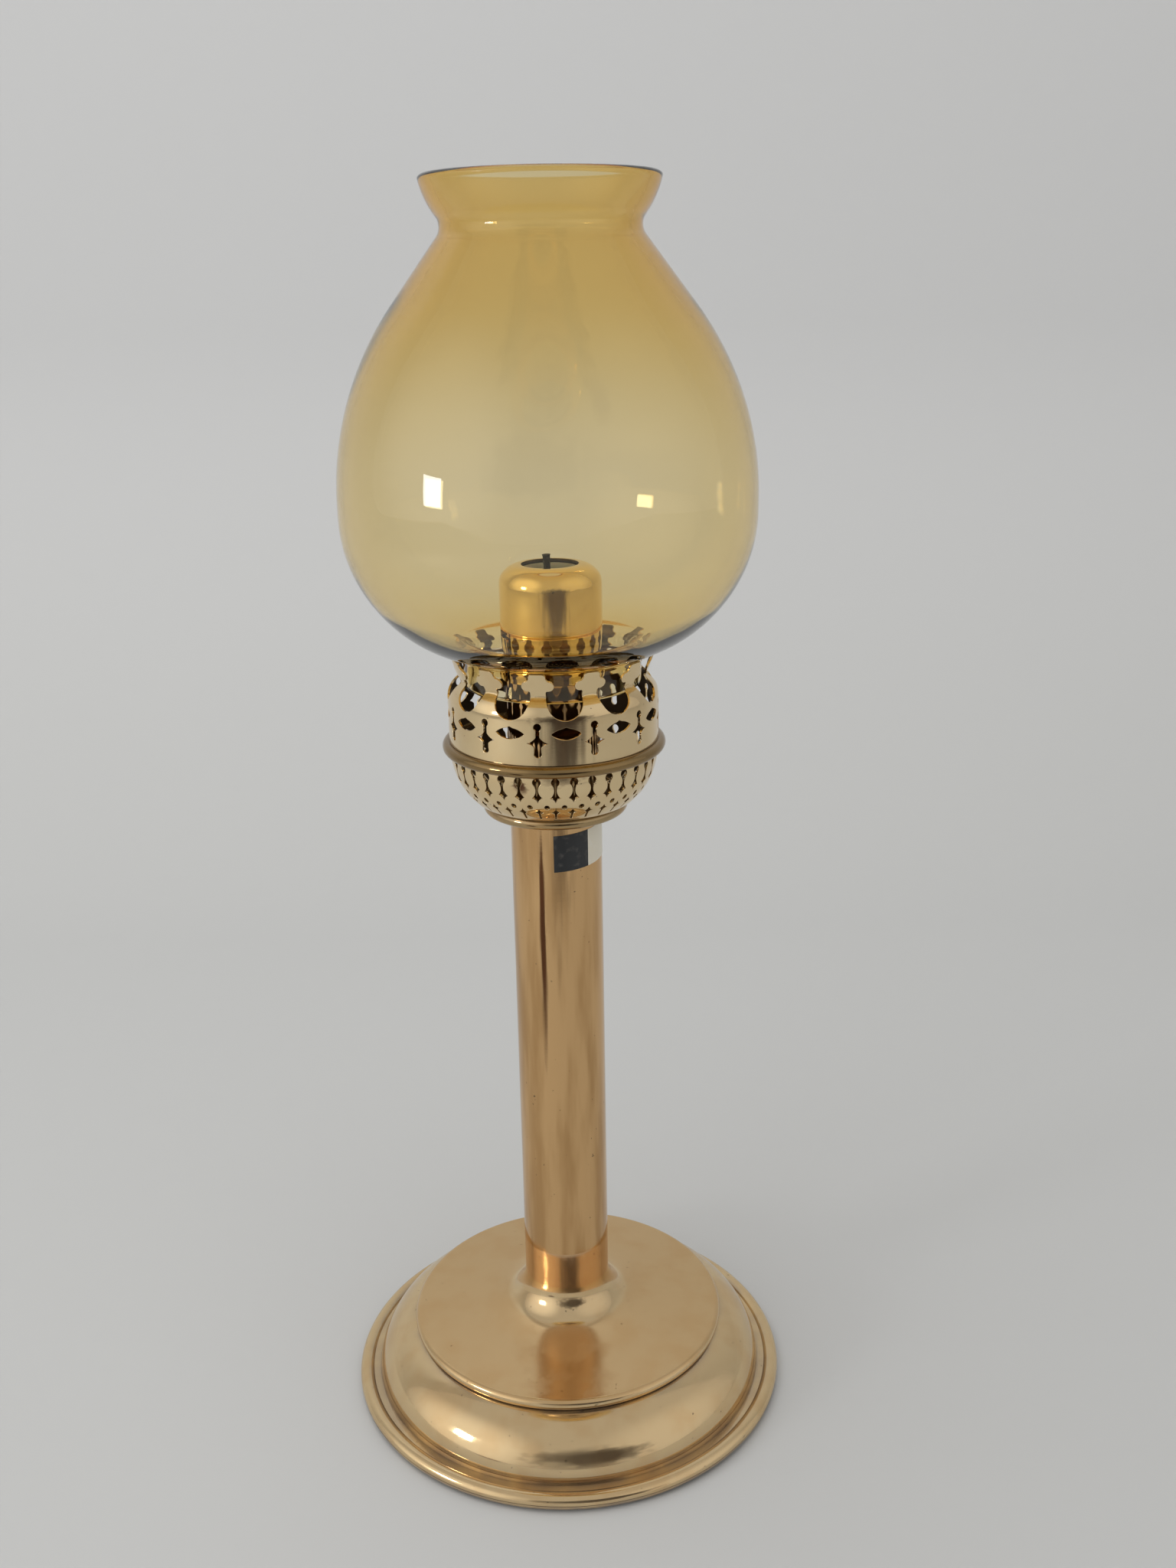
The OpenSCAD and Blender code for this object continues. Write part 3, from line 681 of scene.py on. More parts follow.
def wax():
    """Candle wax, greyed by soot round the wick."""
    finish = Finish("wax")
    soot = finish.ramp(finish.from_axis(), 0.0105, 0.004)
    mottle = finish.ramp(finish.noise(0.003, detail=5), 0.35, 0.7)
    clean = finish.blend(mottle, (0.80, 0.76, 0.64, 1), (0.70, 0.64, 0.50, 1))
    finish.set(Base_Color=finish.over(clean, soot, 0.85, (0.10, 0.115, 0.09, 1)))
    finish.set(Roughness=finish.ramp(mottle, 0, 1, 0.32, 0.5), Subsurface_Weight=0.25, Subsurface_Scale=0.002)
    finish.set(Normal=finish.bump(finish.noise(0.0014, detail=3), 0.00012))
    return finish.material


def charred_wick():
    """Burnt braid with ash on its ridges."""
    finish = Finish("wick")
    ridges = finish.noise(0.0007, detail=4, place=finish.stretch(1, 1, 0.5))
    ash = finish.ramp(ridges, 0.5, 0.72)
    finish.set(Base_Color=finish.blend(ash, (0.012, 0.011, 0.010, 1), (0.12, 0.11, 0.10, 1)))
    finish.set(Roughness=finish.ramp(ash, 0, 1, 0.75, 0.95), Normal=finish.bump(ridges, 0.0004))
    return finish.material


def steel(name, tone=(0.52, 0.52, 0.54, 1)):
    """Plated steel with drawing marks and a little rust."""
    finish = Finish(name)
    marks = finish.noise(0.0016, detail=6)
    rust = finish.ramp(finish.noise(0.004, detail=6), 0.6, 0.75)
    finish.set(Base_Color=finish.over(tone, rust, 0.6, (0.20, 0.09, 0.04, 1)))
    finish.set(Metallic=1.0, Roughness=finish.ramp(marks, 0.3, 0.7, 0.25, 0.5))
    finish.set(Normal=finish.bump(marks, 0.00003))
    return finish.material


def cast_iron():
    """Sand-cast iron, dark and grainy."""
    finish = Finish("iron")
    grain = finish.noise(0.0012, detail=8)
    bloom = finish.ramp(finish.noise(0.009, detail=6), 0.5, 0.75)
    finish.set(Base_Color=finish.blend(bloom, (0.06, 0.06, 0.062, 1), (0.13, 0.07, 0.045, 1)))
    finish.set(Metallic=0.6, Roughness=finish.ramp(grain, 0.3, 0.7, 0.6, 0.85))
    finish.set(Normal=finish.bump(grain, 0.00025))
    return finish.material


def felt():
    """Green baize with a nap of short fibres."""
    finish = Finish("felt")
    fibres = finish.noise(0.0006, detail=8)
    worn = finish.ramp(finish.noise(0.012, detail=4), 0.4, 0.7)
    deep = finish.blend(worn, (0.018, 0.055, 0.028, 1), (0.045, 0.095, 0.055, 1))
    finish.set(Base_Color=finish.blend(finish.ramp(fibres, 0.35, 0.7), deep, (0.07, 0.13, 0.08, 1)))
    finish.set(Roughness=0.95, Sheen_Weight=0.4, Normal=finish.bump(fibres, 0.0003))
    return finish.material


def paper(name, tone, worn_tone):
    """Thin glossy paper, rubbed pale where it is worn."""
    finish = Finish(name)
    rubbed = finish.ramp(finish.noise(0.0022, detail=6), 0.52, 0.72)
    finish.set(Base_Color=finish.over(tone, rubbed, 0.5, worn_tone))
    finish.set(Roughness=finish.ramp(rubbed, 0, 1, 0.35, 0.6))
    finish.set(Normal=finish.bump(finish.noise(0.0025, detail=3), 0.00008))
    return finish.material


# Pieces of the lamp


def polar(centre, radius, angle):
    """Point at an angle in degrees on a circle."""
    a = radians(angle)
    return centre[0] + radius * cos(a), centre[1] + radius * sin(a)


def line(start, end, count):
    """Points from start up to, but not with, the end."""
    return [tuple(a + (b - a) * i / count for a, b in zip(start, end)) for i in range(count)]


def bend(start, corner, end, count):
    """Points within a smooth turn from one straight run to another that meet at a corner."""
    points = []
    for t in np.linspace(0, 1, count + 2)[1:-1]:
        weights = ((1 - t) ** 2, 2 * t * (1 - t), t**2)
        points.append(tuple(sum(w * p[k] for w, p in zip(weights, (start, corner, end))) for k in range(2)))
    return points


def foot_outline():
    """Half section of the spun foot: rim bead, skirt, deck bead, deck and cove, then back inside."""
    foot_r = node_box("foot")[1].x
    tube_r = node_box("ferrule")[1].x
    foot_top = node_box("foot")[1].z
    rim_c = (foot_r - RIM_R, RIM_LIFT + RIM_R)
    groove_z = polar(rim_c, RIM_R, GROOVE_TURN)[1]
    skirt_c = (rim_c[0] - RIM_R - GROOVE_W - SKIRT_R, rim_c[1])
    skirt_end = polar(skirt_c, SKIRT_R, SKIRT_TURN)
    bead_set = DECK_BEAD_SET * DECK_BEAD_R
    bead_c = (skirt_end[0] - bead_set, skirt_end[1] + bead_set)
    deck_start = (bead_c[0], bead_c[1] + DECK_BEAD_R)
    cove_c = (tube_r + COVE_R, foot_top)
    cove_edge = polar(cove_c, COVE_R, 270 - COVE_SLOPE)
    deck_slope = (cove_edge[1] - deck_start[1]) / (deck_start[0] - cove_edge[0])
    blend_from = (COVE_BLEND_R, deck_start[1] + deck_slope * (deck_start[0] - COVE_BLEND_R))
    blend_to = polar(cove_c, COVE_R, 270 - COVE_BLEND_SLOPE)
    steep = tan(radians(COVE_BLEND_SLOPE))
    drop = blend_to[1] - deck_start[1] - deck_slope * (deck_start[0] - blend_to[0])
    out = drop / (steep - deck_slope)
    corner = (blend_to[0] + out, blend_to[1] - steep * out)
    seam_turn = degrees(asin(RIM_SEAM / 2 / RIM_R))
    groove_in = degrees(asin((groove_z - skirt_c[1]) / SKIRT_R))
    inner_r = SKIRT_R - FOOT_WALL
    riser_in = polar(bead_c, DECK_BEAD_R, RISER_TURN)[0] - FOOT_WALL
    inner_turn = degrees(acos((riser_in - skirt_c[0]) / inner_r))
    inner_cove_r = COVE_R + FOOT_WALL
    inner_cove_turn = 180 + degrees(asin(FOOT_WALL / inner_cove_r))
    return (
        arc(rim_c, RIM_R, seam_turn, 180 - GROOVE_TURN)
        + arc(skirt_c, SKIRT_R, groove_in, SKIRT_TURN, 2)
        + arc(bead_c, DECK_BEAD_R, -RISER_TURN, 90, 5)
        + line(deck_start, blend_from, 10)[1:]
        + [blend_from]
        + bend(blend_from, corner, blend_to, 14)
        + arc(cove_c, COVE_R, 270 - COVE_BLEND_SLOPE, 180, 3)
        + [(STUD_HOLE_R, foot_top), (STUD_HOLE_R, foot_top - FOOT_WALL)]
        + arc(cove_c, inner_cove_r, inner_cove_turn, 270 - COVE_SLOPE)
        + [(riser_in, deck_start[1] - FOOT_WALL)]
        + arc(skirt_c, inner_r, inner_turn, seam_turn)
    )


def star_half(half, start, end):
    """Right side of a star with four points, between two angles in degrees."""
    points = []
    for a in np.linspace(start, end, 9):
        c, s = cos(radians(a)), sin(radians(a))
        points.append((half * abs(c) ** STAR_PINCH, half * copysign(abs(s) ** STAR_PINCH, s)))
    return points


def star_turn(half, x):
    """Angle at which a star's side is x away from its middle."""
    return degrees(acos((x / half) ** (1 / STAR_PINCH)))


def moved(points, rise):
    return [(x, y + rise) for x, y in points]


def keyhole_shape():
    """Round head, a slot drawn in by the round plates beside it, and a star; measured from the head."""
    flare = KEYHOLE_STAR - KEYHOLE_SLOT_W / 2
    plate_r = (flare**2 + (KEYHOLE_LEN / 2) ** 2) / (2 * flare)
    plate_c = (plate_r + KEYHOLE_SLOT_W / 2, -KEYHOLE_LEN / 2)
    away = hypot(*plate_c)
    spread = acos((KEYHOLE_HEAD_R**2 + away**2 - plate_r**2) / (2 * KEYHOLE_HEAD_R * away))
    head_end = degrees(atan2(plate_c[1], plate_c[0]) - spread)
    meet = polar((0, 0), KEYHOLE_HEAD_R, head_end)
    slot_start = degrees(atan2(meet[1] - plate_c[1], meet[0] - plate_c[0]))
    slot_end = 360 - degrees(acos((KEYHOLE_STAR - plate_c[0]) / plate_r))
    half = (
        arc((0, 0), KEYHOLE_HEAD_R, 90, head_end, 15)
        + arc(plate_c, plate_r, slot_start, slot_end, 9)[1:]
        + moved(star_half(KEYHOLE_STAR, 0, -90)[1:], -KEYHOLE_LEN)
    )
    return mirrored(half)


def low_star_shape():
    """Star with a thin slot below it."""
    slot = LOW_SLOT_W / 2
    meet = star_turn(LOW_STAR, slot)
    half = star_half(LOW_STAR, 90, 0) + star_half(LOW_STAR, 0, -meet)[1:]
    return mirrored(half + [(slot, -LOW_SLOT_LEN), (0, -LOW_SLOT_LEN)])


def drop_shape():
    """Round head, neck, hollow-sided diamond and a round foot, measured from the diamond."""
    neck, waist = DROP_NECK_W / 2, DROP_WAIST_W / 2
    head_end = -degrees(acos(neck / DROP_HEAD_R))
    foot_start = degrees(acos(waist / DROP_FOOT_R))
    half = (
        moved(arc((0, 0), DROP_HEAD_R, 90, head_end, 12), DROP_HEAD_RISE)
        + star_half(DROP_HALF_W, star_turn(DROP_HALF_W, neck), 0)
        + star_half(DROP_HALF_W, 0, -star_turn(DROP_HALF_W, waist))[1:]
        + moved(arc((0, 0), DROP_FOOT_R, foot_start, -90, 15), -DROP_FOOT_FALL)
    )
    return mirrored(half)


def lens_shape():
    """Pointed oval with a small peak on its upper edge."""
    r = (LENS_W**2 + LENS_H**2) / (4 * LENS_H)
    tip = degrees(asin((r - LENS_H / 2) / r))
    peak = degrees(acos(LENS_POINT_W / 2 / r))
    half = (
        [(0, LENS_H / 2 + LENS_POINT_H / 2)]
        + arc((0, LENS_H / 2 - r), r, peak, tip, 3)
        + arc((0, r - LENS_H / 2), r, -tip, -90, 3)[1:]
    )
    return mirrored(half)


def circle_shape(radius):
    return arc((0, 0), radius, 90, -270, 22.5)[:-1]


def gallery_bowl(material):
    """Pierced bowl: keyholes, dots and low stars in rows round its side."""
    low, high = node_box("gallery_bowl")
    centre = (high.x - BOWL_SIDE_R, low.z + BOWL_H)
    middle_r = BOWL_SIDE_R - SHEET / 2
    low_turn = -degrees(asin(BOWL_H / BOWL_SIDE_R))
    floor_z = low.z + SHEET / 2
    bend_turn = low_turn + BOWL_BEND_TURN
    floor_end = polar(centre, middle_r, bend_turn)[0] - BOWL_BEND_IN
    lip_r = high.x - SHEET / 2
    side = Side(
        line((SLEEVE_R, floor_z), (floor_end, floor_z), 6)
        + arc(centre, middle_r, bend_turn, 0, 2)
        + line((lip_r, centre[1] + BOWL_LIP_FROM), (lip_r, high.z + BOWL_LIP_OVER), 5)
    )
    pitch = 360 / BOWL_UNITS
    start = BOWL_TURN + pitch / 2
    holes = []
    for i in range(BOWL_UNITS):
        turn = start + (i + 0.5) * pitch
        holes.append(side.wrap(keyhole_shape(), turn, centre[1] - KEYHOLE_DROP))
        holes.append(side.wrap(low_star_shape(), turn, centre[1] - LOW_STAR_DROP))
        holes.append(side.wrap(circle_shape(DOT_R), turn - pitch / 2, centre[1] - DOT_DROP))
    dot_s = side.reach(centre[1] - DOT_DROP)
    dodge = radians(SEAM_DODGE * pitch)
    sheet = PiercedSheet(side, SHEET, EDGE)
    lower, upper = (ring_edge(start, s, EDGE_STEPS) for s in (0, side.length))
    return sheet.build(
        "gallery_bowl_sheet", lower, upper, holes, material,
        sway=lambda s: -dodge * max(0, 1 - abs(s - dot_s) / SEAM_STEP),
    )


def finger_half():
    """Left side of a finger past its crease, from the crease up to the middle of its tip."""
    lobe_r = LOBE_SHARE * FINGER_LEN / 2
    lobe_c = (lobe_r - FINGER_TIP_W / 2, LOBE_PLACE * FINGER_LEN)
    knob_c = (FINGER_KNOB_R - FINGER_KNOB_W / 2, FINGER_LEN - FINGER_KNOB_R)
    stem = -FINGER_STEM_W / 2
    lobe_low = lobe_c[1] - lobe_r
    return (
        [(stem, FOLD_BEND), (stem, lobe_low - LOBE_FLARE_H), (stem - LOBE_FLARE_W, lobe_low)]
        + arc(lobe_c, lobe_r, 270, 90, 12)
        + arc(knob_c, FINGER_KNOB_R, KNOB_FROM, 90, 15)
    )


def gallery_crown(material):
    """Pierced crown: drops and lenses in its band, arches above them and fingers that lean out."""
    low = node_box("gallery_crown")[0]
    middle = CROWN_R - SHEET / 2
    shoulder_c = (CROWN_R - SHOULDER_R, low.z + CROWN_BAND_H)
    shoulder_r = SHOULDER_R - SHEET / 2
    fold = polar(shoulder_c, shoulder_r, SHOULDER_TURN)
    lean = radians(FINGER_LEAN)
    finger_end = (fold[0] + FINGER_LEN * sin(lean), fold[1] + FINGER_LEN * cos(lean))
    trim = degrees(FOLD_BEND / shoulder_r)
    bend_from = polar(shoulder_c, shoulder_r, SHOULDER_TURN - trim)
    bend_to = (fold[0] + FOLD_BEND * sin(lean), fold[1] + FOLD_BEND * cos(lean))
    side = Side(
        line((middle, low.z), (middle, shoulder_c[1]), 12)
        + arc(shoulder_c, shoulder_r, 0, SHOULDER_TURN - trim, 3)
        + bend(bend_from, fold, bend_to, 7)
        + line(bend_to, finger_end, 8)
        + [finger_end]
    )
    pitch = 360 / CROWN_UNITS
    fold_s = side.length - FINGER_LEN
    arch_r = ARCH_W / 2
    arch_top = fold[1] - shoulder_c[1] - ARCH_UNDER
    arch_side = [(arch_r, y) for y in np.linspace(arch_r, arch_top, 4)[1:]]
    arch_half = arc((0, arch_r), arch_r, -90, 0, 9) + arch_side
    holes, upper = [], []
    for i in range(CROWN_UNITS):
        turn = CROWN_TURN + i * pitch
        holes.append(side.wrap(drop_shape(), turn, low.z + DROP_RISE))
        holes.append(side.wrap(lens_shape(), turn + pitch / 2, low.z + LENS_RISE))
        left = []
        for x, s in finger_half():
            left.append((radians(turn) + asin(x / side.radius(fold_s + s)), fold_s + s))
        right = [(2 * radians(turn) - t, s) for t, s in reversed(left)]
        upper += side.wrap(arch_half, turn - pitch / 2, shoulder_c[1]) + left + right
        upper += side.wrap([(-x, y) for x, y in reversed(arch_half[1:])], turn + pitch / 2, shoulder_c[1])
    seam = CROWN_SEAM_POINT
    upper = upper[seam:] + [(t + 2 * pi, s) for t, s in upper[: seam + 1]]
    lower = ring_edge(degrees(upper[0][0]), 0, EDGE_STEPS)
    sheet = PiercedSheet(side, SHEET, EDGE)
    return sheet.build("gallery_crown_sheet", lower, upper, holes, material)


def candle_cap(material):
    """Domed cap with two bayonet slots that open at its lower edge."""
    low, high = node_box("candle_cap")
    middle = high.x - CAP_WALL / 2
    round_c = (high.x - CAP_ROUND_R, high.z - CAP_ROUND_R)
    round_r = CAP_ROUND_R - CAP_WALL / 2
    side = Side(
        line((middle, low.z), (middle, round_c[1]), 16)
        + arc(round_c, round_r, 0, 90, 3)
        + [(CAP_HOLE_R, round_c[1] + round_r)]
    )
    slot_r = CAP_SLOT_W / 2
    half_w = asin(slot_r / middle)
    slot_low, slot_high = CAP_PIN_AT - slot_r, CAP_PIN_AT + slot_r
    first = CAP_ENTRY_TURN + 90
    lower = [(radians(first), 0)]

    def along_edge(end):
        start = lower[-1][0]
        return [(start + (end - start) * i / CAP_EDGE_STEPS, 0) for i in range(1, CAP_EDGE_STEPS + 1)]

    for entry in (radians(CAP_ENTRY_TURN + 180), radians(CAP_ENTRY_TURN + 360)):
        near, far = entry - half_w, entry + half_w
        shut = entry - radians(CAP_BAYONET_TURN)
        lower += along_edge(near)
        lower += line((near, slot_low), (shut, slot_low), CAP_SLOT_STEPS)
        lower += [(shut + x / middle, CAP_PIN_AT + y) for x, y in arc((0, 0), slot_r, 270, 90, 20)]
        lower += line((shut, slot_high), (far, slot_high), CAP_SLOT_STEPS)[1:]
        lower += [(far, slot_high), (far, 0)]
    lower += along_edge(radians(first + 360))
    upper = ring_edge(first, side.length, CAP_TOP_STEPS)
    sheet = PiercedSheet(side, CAP_WALL, CAP_EDGE)
    return sheet.build("candle_cap_shell", lower, upper, [], material)


def candle(material):
    """Candle with a bevelled shoulder and a hollow pool that climbs the wick a little."""
    low, high = node_box("candle")
    wick_r = node_box("wick")[1].x
    shoulder = high.x - CANDLE_BEVEL
    pool_z = high.z - POOL_DEEP
    pool_ball = (POOL_R**2 + POOL_DEEP**2) / (2 * POOL_DEEP)
    edge_turn = degrees(asin(POOL_R / pool_ball)) - 90
    wick_turn = degrees(asin((wick_r + CLIMB_FROM) / pool_ball)) - 90
    climb = [(wick_r + out, pool_z + up) for out, up in CLIMB]
    bevel_low = (high.x, high.z - CANDLE_BEVEL - CANDLE_EASE)
    bevel_high = (shoulder + CANDLE_EASE, high.z - CANDLE_FALL)
    outline = (
        [(0, low.z), (high.x - CANDLE_FOOT_BEVEL, low.z), (high.x, low.z + CANDLE_FOOT_BEVEL)]
        + line(bevel_low, bevel_high, 6)
        + arc((shoulder - CANDLE_ROUND_IN, high.z - CANDLE_ROUND_R), CANDLE_ROUND_R, 60, 100, 10)
        + arc((0, pool_z + pool_ball), pool_ball, edge_turn, wick_turn, 6)
        + climb
        + [(0, climb[-1][1])]
    )
    return lathe("candle_wax", outline, material, segments=96)


def wick(material):
    """Burnt wick that stands a little left of the middle and widens towards its cut end."""
    low, high = node_box("wick")
    tip = high.z - WICK_END
    pool_z = node_box("candle")[1].z - POOL_DEEP
    sway, sway_turn = WICK_SWAY
    ripple, ripple_turn = WICK_RIPPLE
    path, radii = [], []
    for i, z in enumerate(np.linspace(low.z + WICK_END, tip, WICK_STEPS).tolist()):
        over = max(0, (z - pool_z) / (tip - pool_z))
        aside = min(1, max(0, (z - low.z) / (pool_z - low.z)))
        path.append((-WICK_ASIDE * aside - WICK_LEAN * over, sway * sin(sway_turn * over), z))
        radii.append(WICK_R + ripple * sin(ripple_turn * i) * over + WICK_FLARE * over**3)
    return tube_along("wick_braid", path, radii, material, sides=14)


def spring(material):
    """Feed spring: a round wire whose end turns lie close."""
    low, high = node_box("spring")
    coil_r = high.x - WIRE_R
    rise = high.z - low.z - 2 * WIRE_R
    middle_pitch = (rise - 2 * SPRING_END_PITCH) / (SPRING_TURNS - 2)
    path = []
    for i in range(SPRING_TURNS * SPRING_STEPS + 1):
        t = i / SPRING_STEPS
        climb = min(t, 1) * SPRING_END_PITCH
        climb += min(max(t - 1, 0), SPRING_TURNS - 2) * middle_pitch
        climb += max(t - SPRING_TURNS + 1, 0) * SPRING_END_PITCH
        a = 2 * pi * t
        path.append((coil_r * cos(a), coil_r * sin(a), low.z + WIRE_R + climb))
    return tube_along("spring_wire", path, [WIRE_R] * len(path), material, sides=10)


def glass_outside():
    """Outside of the glass from its neck to its lip."""
    low, high = node_box("glass_shade")
    belly = high.x
    neck_c = (NECK_R + NECK_ROUND_R, low.z + NECK_LEN)
    lower_r = belly - LOWER_R
    belly_z = neck_c[1] + sqrt((LOWER_R + NECK_ROUND_R) ** 2 - (neck_c[0] - lower_r) ** 2)
    neck_turn = degrees(atan2(belly_z - neck_c[1], neck_c[0] - lower_r))
    upper_c = (belly - UPPER_R, belly_z + BELLY_BAND)
    upper_end = polar(upper_c, UPPER_R, THROAT_LEAN)
    lean = radians(THROAT_LEAN)
    low_r = THROAT_R + THROAT_ROUND_R * (1 - cos(lean))
    throat_z = upper_end[1] + (upper_end[0] - low_r) / tan(lean) + THROAT_ROUND_R * sin(lean)
    throat_c = (THROAT_R + THROAT_ROUND_R, throat_z)
    lip_c = polar(throat_c, THROAT_ROUND_R + LIP_R, 180 - LIP_LEAN)
    throat_start = polar(throat_c, THROAT_ROUND_R, 180 + THROAT_LEAN)
    return (
        line((NECK_R, low.z + GLASS_T / 2), (NECK_R, neck_c[1]), 4)
        + arc(neck_c, NECK_ROUND_R, 180, 180 - neck_turn, 4)
        + arc((lower_r, belly_z), LOWER_R, -neck_turn, 0, 1.5)[1:]
        + arc(upper_c, UPPER_R, 0, THROAT_LEAN, 1)
        + line(upper_end, throat_start, 6)[1:]
        + arc(throat_c, THROAT_ROUND_R, 180 + THROAT_LEAN, 180 - LIP_LEAN, 4)
        + arc(lip_c, LIP_R, -LIP_LEAN, -LIP_EDGE_LEAN, 2)[1:]
    )


def glass_shade(material):
    """Blown shade: thin at the belly, thicker at the neck and the lip, fire-polished at both edges."""
    outside = np.array(glass_outside())
    along = np.gradient(outside, axis=0)
    along /= np.hypot(*along.T)[:, None]
    inward = np.stack([-along[:, 1], along[:, 0]], axis=1)
    reach = np.concatenate([[0], np.cumsum(np.hypot(*np.diff(outside, axis=0).T))])
    wall = np.interp(reach / reach[-1], *zip(*GLASS_WALLS))
    inside_line = outside + wall[:, None] * inward
    foot_c = (outside[0] + inside_line[0]) / 2
    lip_c = (outside[-1] + inside_line[-1]) / 2
    foot_edge = arc(foot_c, wall[0] / 2, -180, 0, 15)[1:-1]
    lip_edge = [
        tuple(lip_c + x * -inward[-1] * wall[-1] / 2 + y * along[-1] * LIP_ROUND)
        for x, y in arc((0, 0), 1, 0, 180, 15)[1:-1]
    ]
    outline = foot_edge + [tuple(p) for p in outside] + lip_edge + [tuple(p) for p in inside_line[::-1]]
    piece = lathe("amber_shade", outline, material, segments=288, crease=60)
    for v in piece.data.vertices:
        turn = atan2(v.co.y, v.co.x)
        z = v.co.z / MM
        swell = sum(size * sin(count * turn + z / rise) for size, count, rise in GLASS_WAVES)
        swell *= min(1, max(0, (z - WAVES_FROM) / WAVES_RISE))
        v.co.x += swell * MM * cos(turn)
        v.co.y += swell * MM * sin(turn)
    return piece


STICKER_LOW = 173.4
STICKER_HIGH = 184.2
STICKER_TURNS = (-94, -48, -2)
STICKER_TILT = 0.9
STICKER_T = 0.09
STICKER_GAP = 0.01
STICKER_COLUMNS = 18


def sticker(name, turns, material):
    """Blank paper sticker bent round the tube between two turns in degrees."""
    tube_r = node_box("candle_tube")[1].x
    back, front = tube_r + STICKER_GAP, tube_r + STICKER_T
    rings = []
    for turn in np.radians(np.linspace(*turns, STICKER_COLUMNS + 1)).tolist():
        lift = STICKER_TILT * (turn - radians(STICKER_TURNS[0]))
        low, high = STICKER_LOW + lift, STICKER_HIGH + lift
        corners = ((front, high), (front, low), (back, low), (back, high))
        rings.append([(r * cos(turn), r * sin(turn), z) for r, z in corners])
    return sweep(name, rings, material)


# Stage, light and camera

FLOOR_TONE = (0.605, 0.61, 0.605, 1)
# Painted light: the rising part of the sheet is given a paler tone than the floor
SWEEP_PAINTED_LIGHT_TONE = (0.695, 0.70, 0.705, 1)
FLOOR_HALF_W = 2.5
FLOOR_FRONT = -1.6
SWEEP_AT = 0.34
SWEEP_R = 0.3
SWEEP_TOP = 2.2
# Dark cards: the first has a (y, z) section round its place, and the second lies on the floor
CARD_AT = (0.11, -0.47, 0.16)
CARD_REACH = (0.46, 0.4, 0.25)
CARD_SECTION = ((0.19, -0.157), (0.06, -0.157), (0.015, -0.13), (0, -0.06), (-0.01, 0.28))
CARD_SOFT = 0.25
CARD_PATCH = 0.09
CARD_RAGGED = 0.6
GLASS_CROSSINGS = 3.5
CARD_TONES = ((0.03, 0.032, 0.04, 1), (0.14, 0.11, 0.10, 1))
STRIP_AT = (-0.25, -0.29, 0.003)
STRIP_REACH = (0.075, 0.22, 0.1)
STRIP_SOFT = 0.4
STRIP_TONES = ((0.05, 0.03, 0.03, 1), (0.12, 0.06, 0.05, 1))
WINDOW_AT = (-0.875, -0.481, 0.34)
WINDOW_AIM = (0, 0, 0.16)
WINDOW_SIZE = (0.18, 0.16)
WINDOW_POWER = 1.2
OVERHEAD_AT = (-0.3, -0.1, 1.5)
OVERHEAD_AIM = (0, 0, 0.1)
OVERHEAD_SIZE = (1.4, 1.4)
OVERHEAD_POWER = 7.5
WORLD_TINT = (1.0, 0.985, 0.96, 1)
WORLD_LIGHT = 0.52
BACKDROP_LIGHT = 0.54
WINDOW_GLOW = 1.05
SIDE_GLOW_AT = (0.8, -0.5, 0.4)
SIDE_GLOW = 0.7
GLOW_FROM = 0.72
CAMERA_AT = (0, -0.4126, 0.3317)
CAMERA_YAW = 1.29
CAMERA_PITCH = 18.32
CAMERA_ROLL = -1.01
CAMERA_LENS = 35.156
CAMERA_SENSOR = 36
CAMERA_NEAR = 0.01


def floor_finish():
    """Matt finish, painted a little paler where the sheet rises behind the lamp, as painted light."""
    finish = Finish("floor")
    rise = finish.ramp(finish.height(), 0.0, SWEEP_R)
    finish.set(Base_Color=finish.blend(rise, FLOOR_TONE, SWEEP_PAINTED_LIGHT_TONE), Roughness=0.9)
    return finish.material


def stage_sheet(name, section, half_w, material):
    """Wide sheet along X from a section of (y, z) points in metres."""
    vertices = [(x / MM, y / MM, z / MM) for y, z in section for x in (-half_w, half_w)]
    faces = [(2 * i, 2 * i + 1, 2 * i + 3, 2 * i + 2) for i in range(len(section) - 1)]
    piece = make_object(name, vertices, faces, material)
    return piece


def dark_card(name, reach, soft, tones):
    """Dark finish that fades unevenly away from its middle, and shows in the metal but not in the glass.

    Rays from the metal reach it spread by its haze, or after they crossed both sides of the glass twice.
    """
    finish = Finish(name)
    path = finish.nodes.new("ShaderNodeLightPath").outputs
    few = finish.math("LESS_THAN", path["Transmission Depth"], GLASS_CROSSINGS)
    in_glass = finish.math("MULTIPLY", path["Is Singular Ray"], few)
    shown = finish.math("SUBTRACT", finish.math("MINIMUM", path["Glossy Depth"], 1.0), in_glass)
    away = finish.vector("LENGTH", finish.stretch(*(1 / length for length in reach)))
    patches = finish.noise(CARD_PATCH, detail=3)
    cover = finish.ramp(away, finish.ramp(patches, 0.35, 0.65, CARD_RAGGED, 1), soft)
    finish.set(Base_Color=finish.blend(patches, *tones), Roughness=1.0)
    finish.set(Alpha=finish.math("MULTIPLY", shown, cover))
    return finish.material


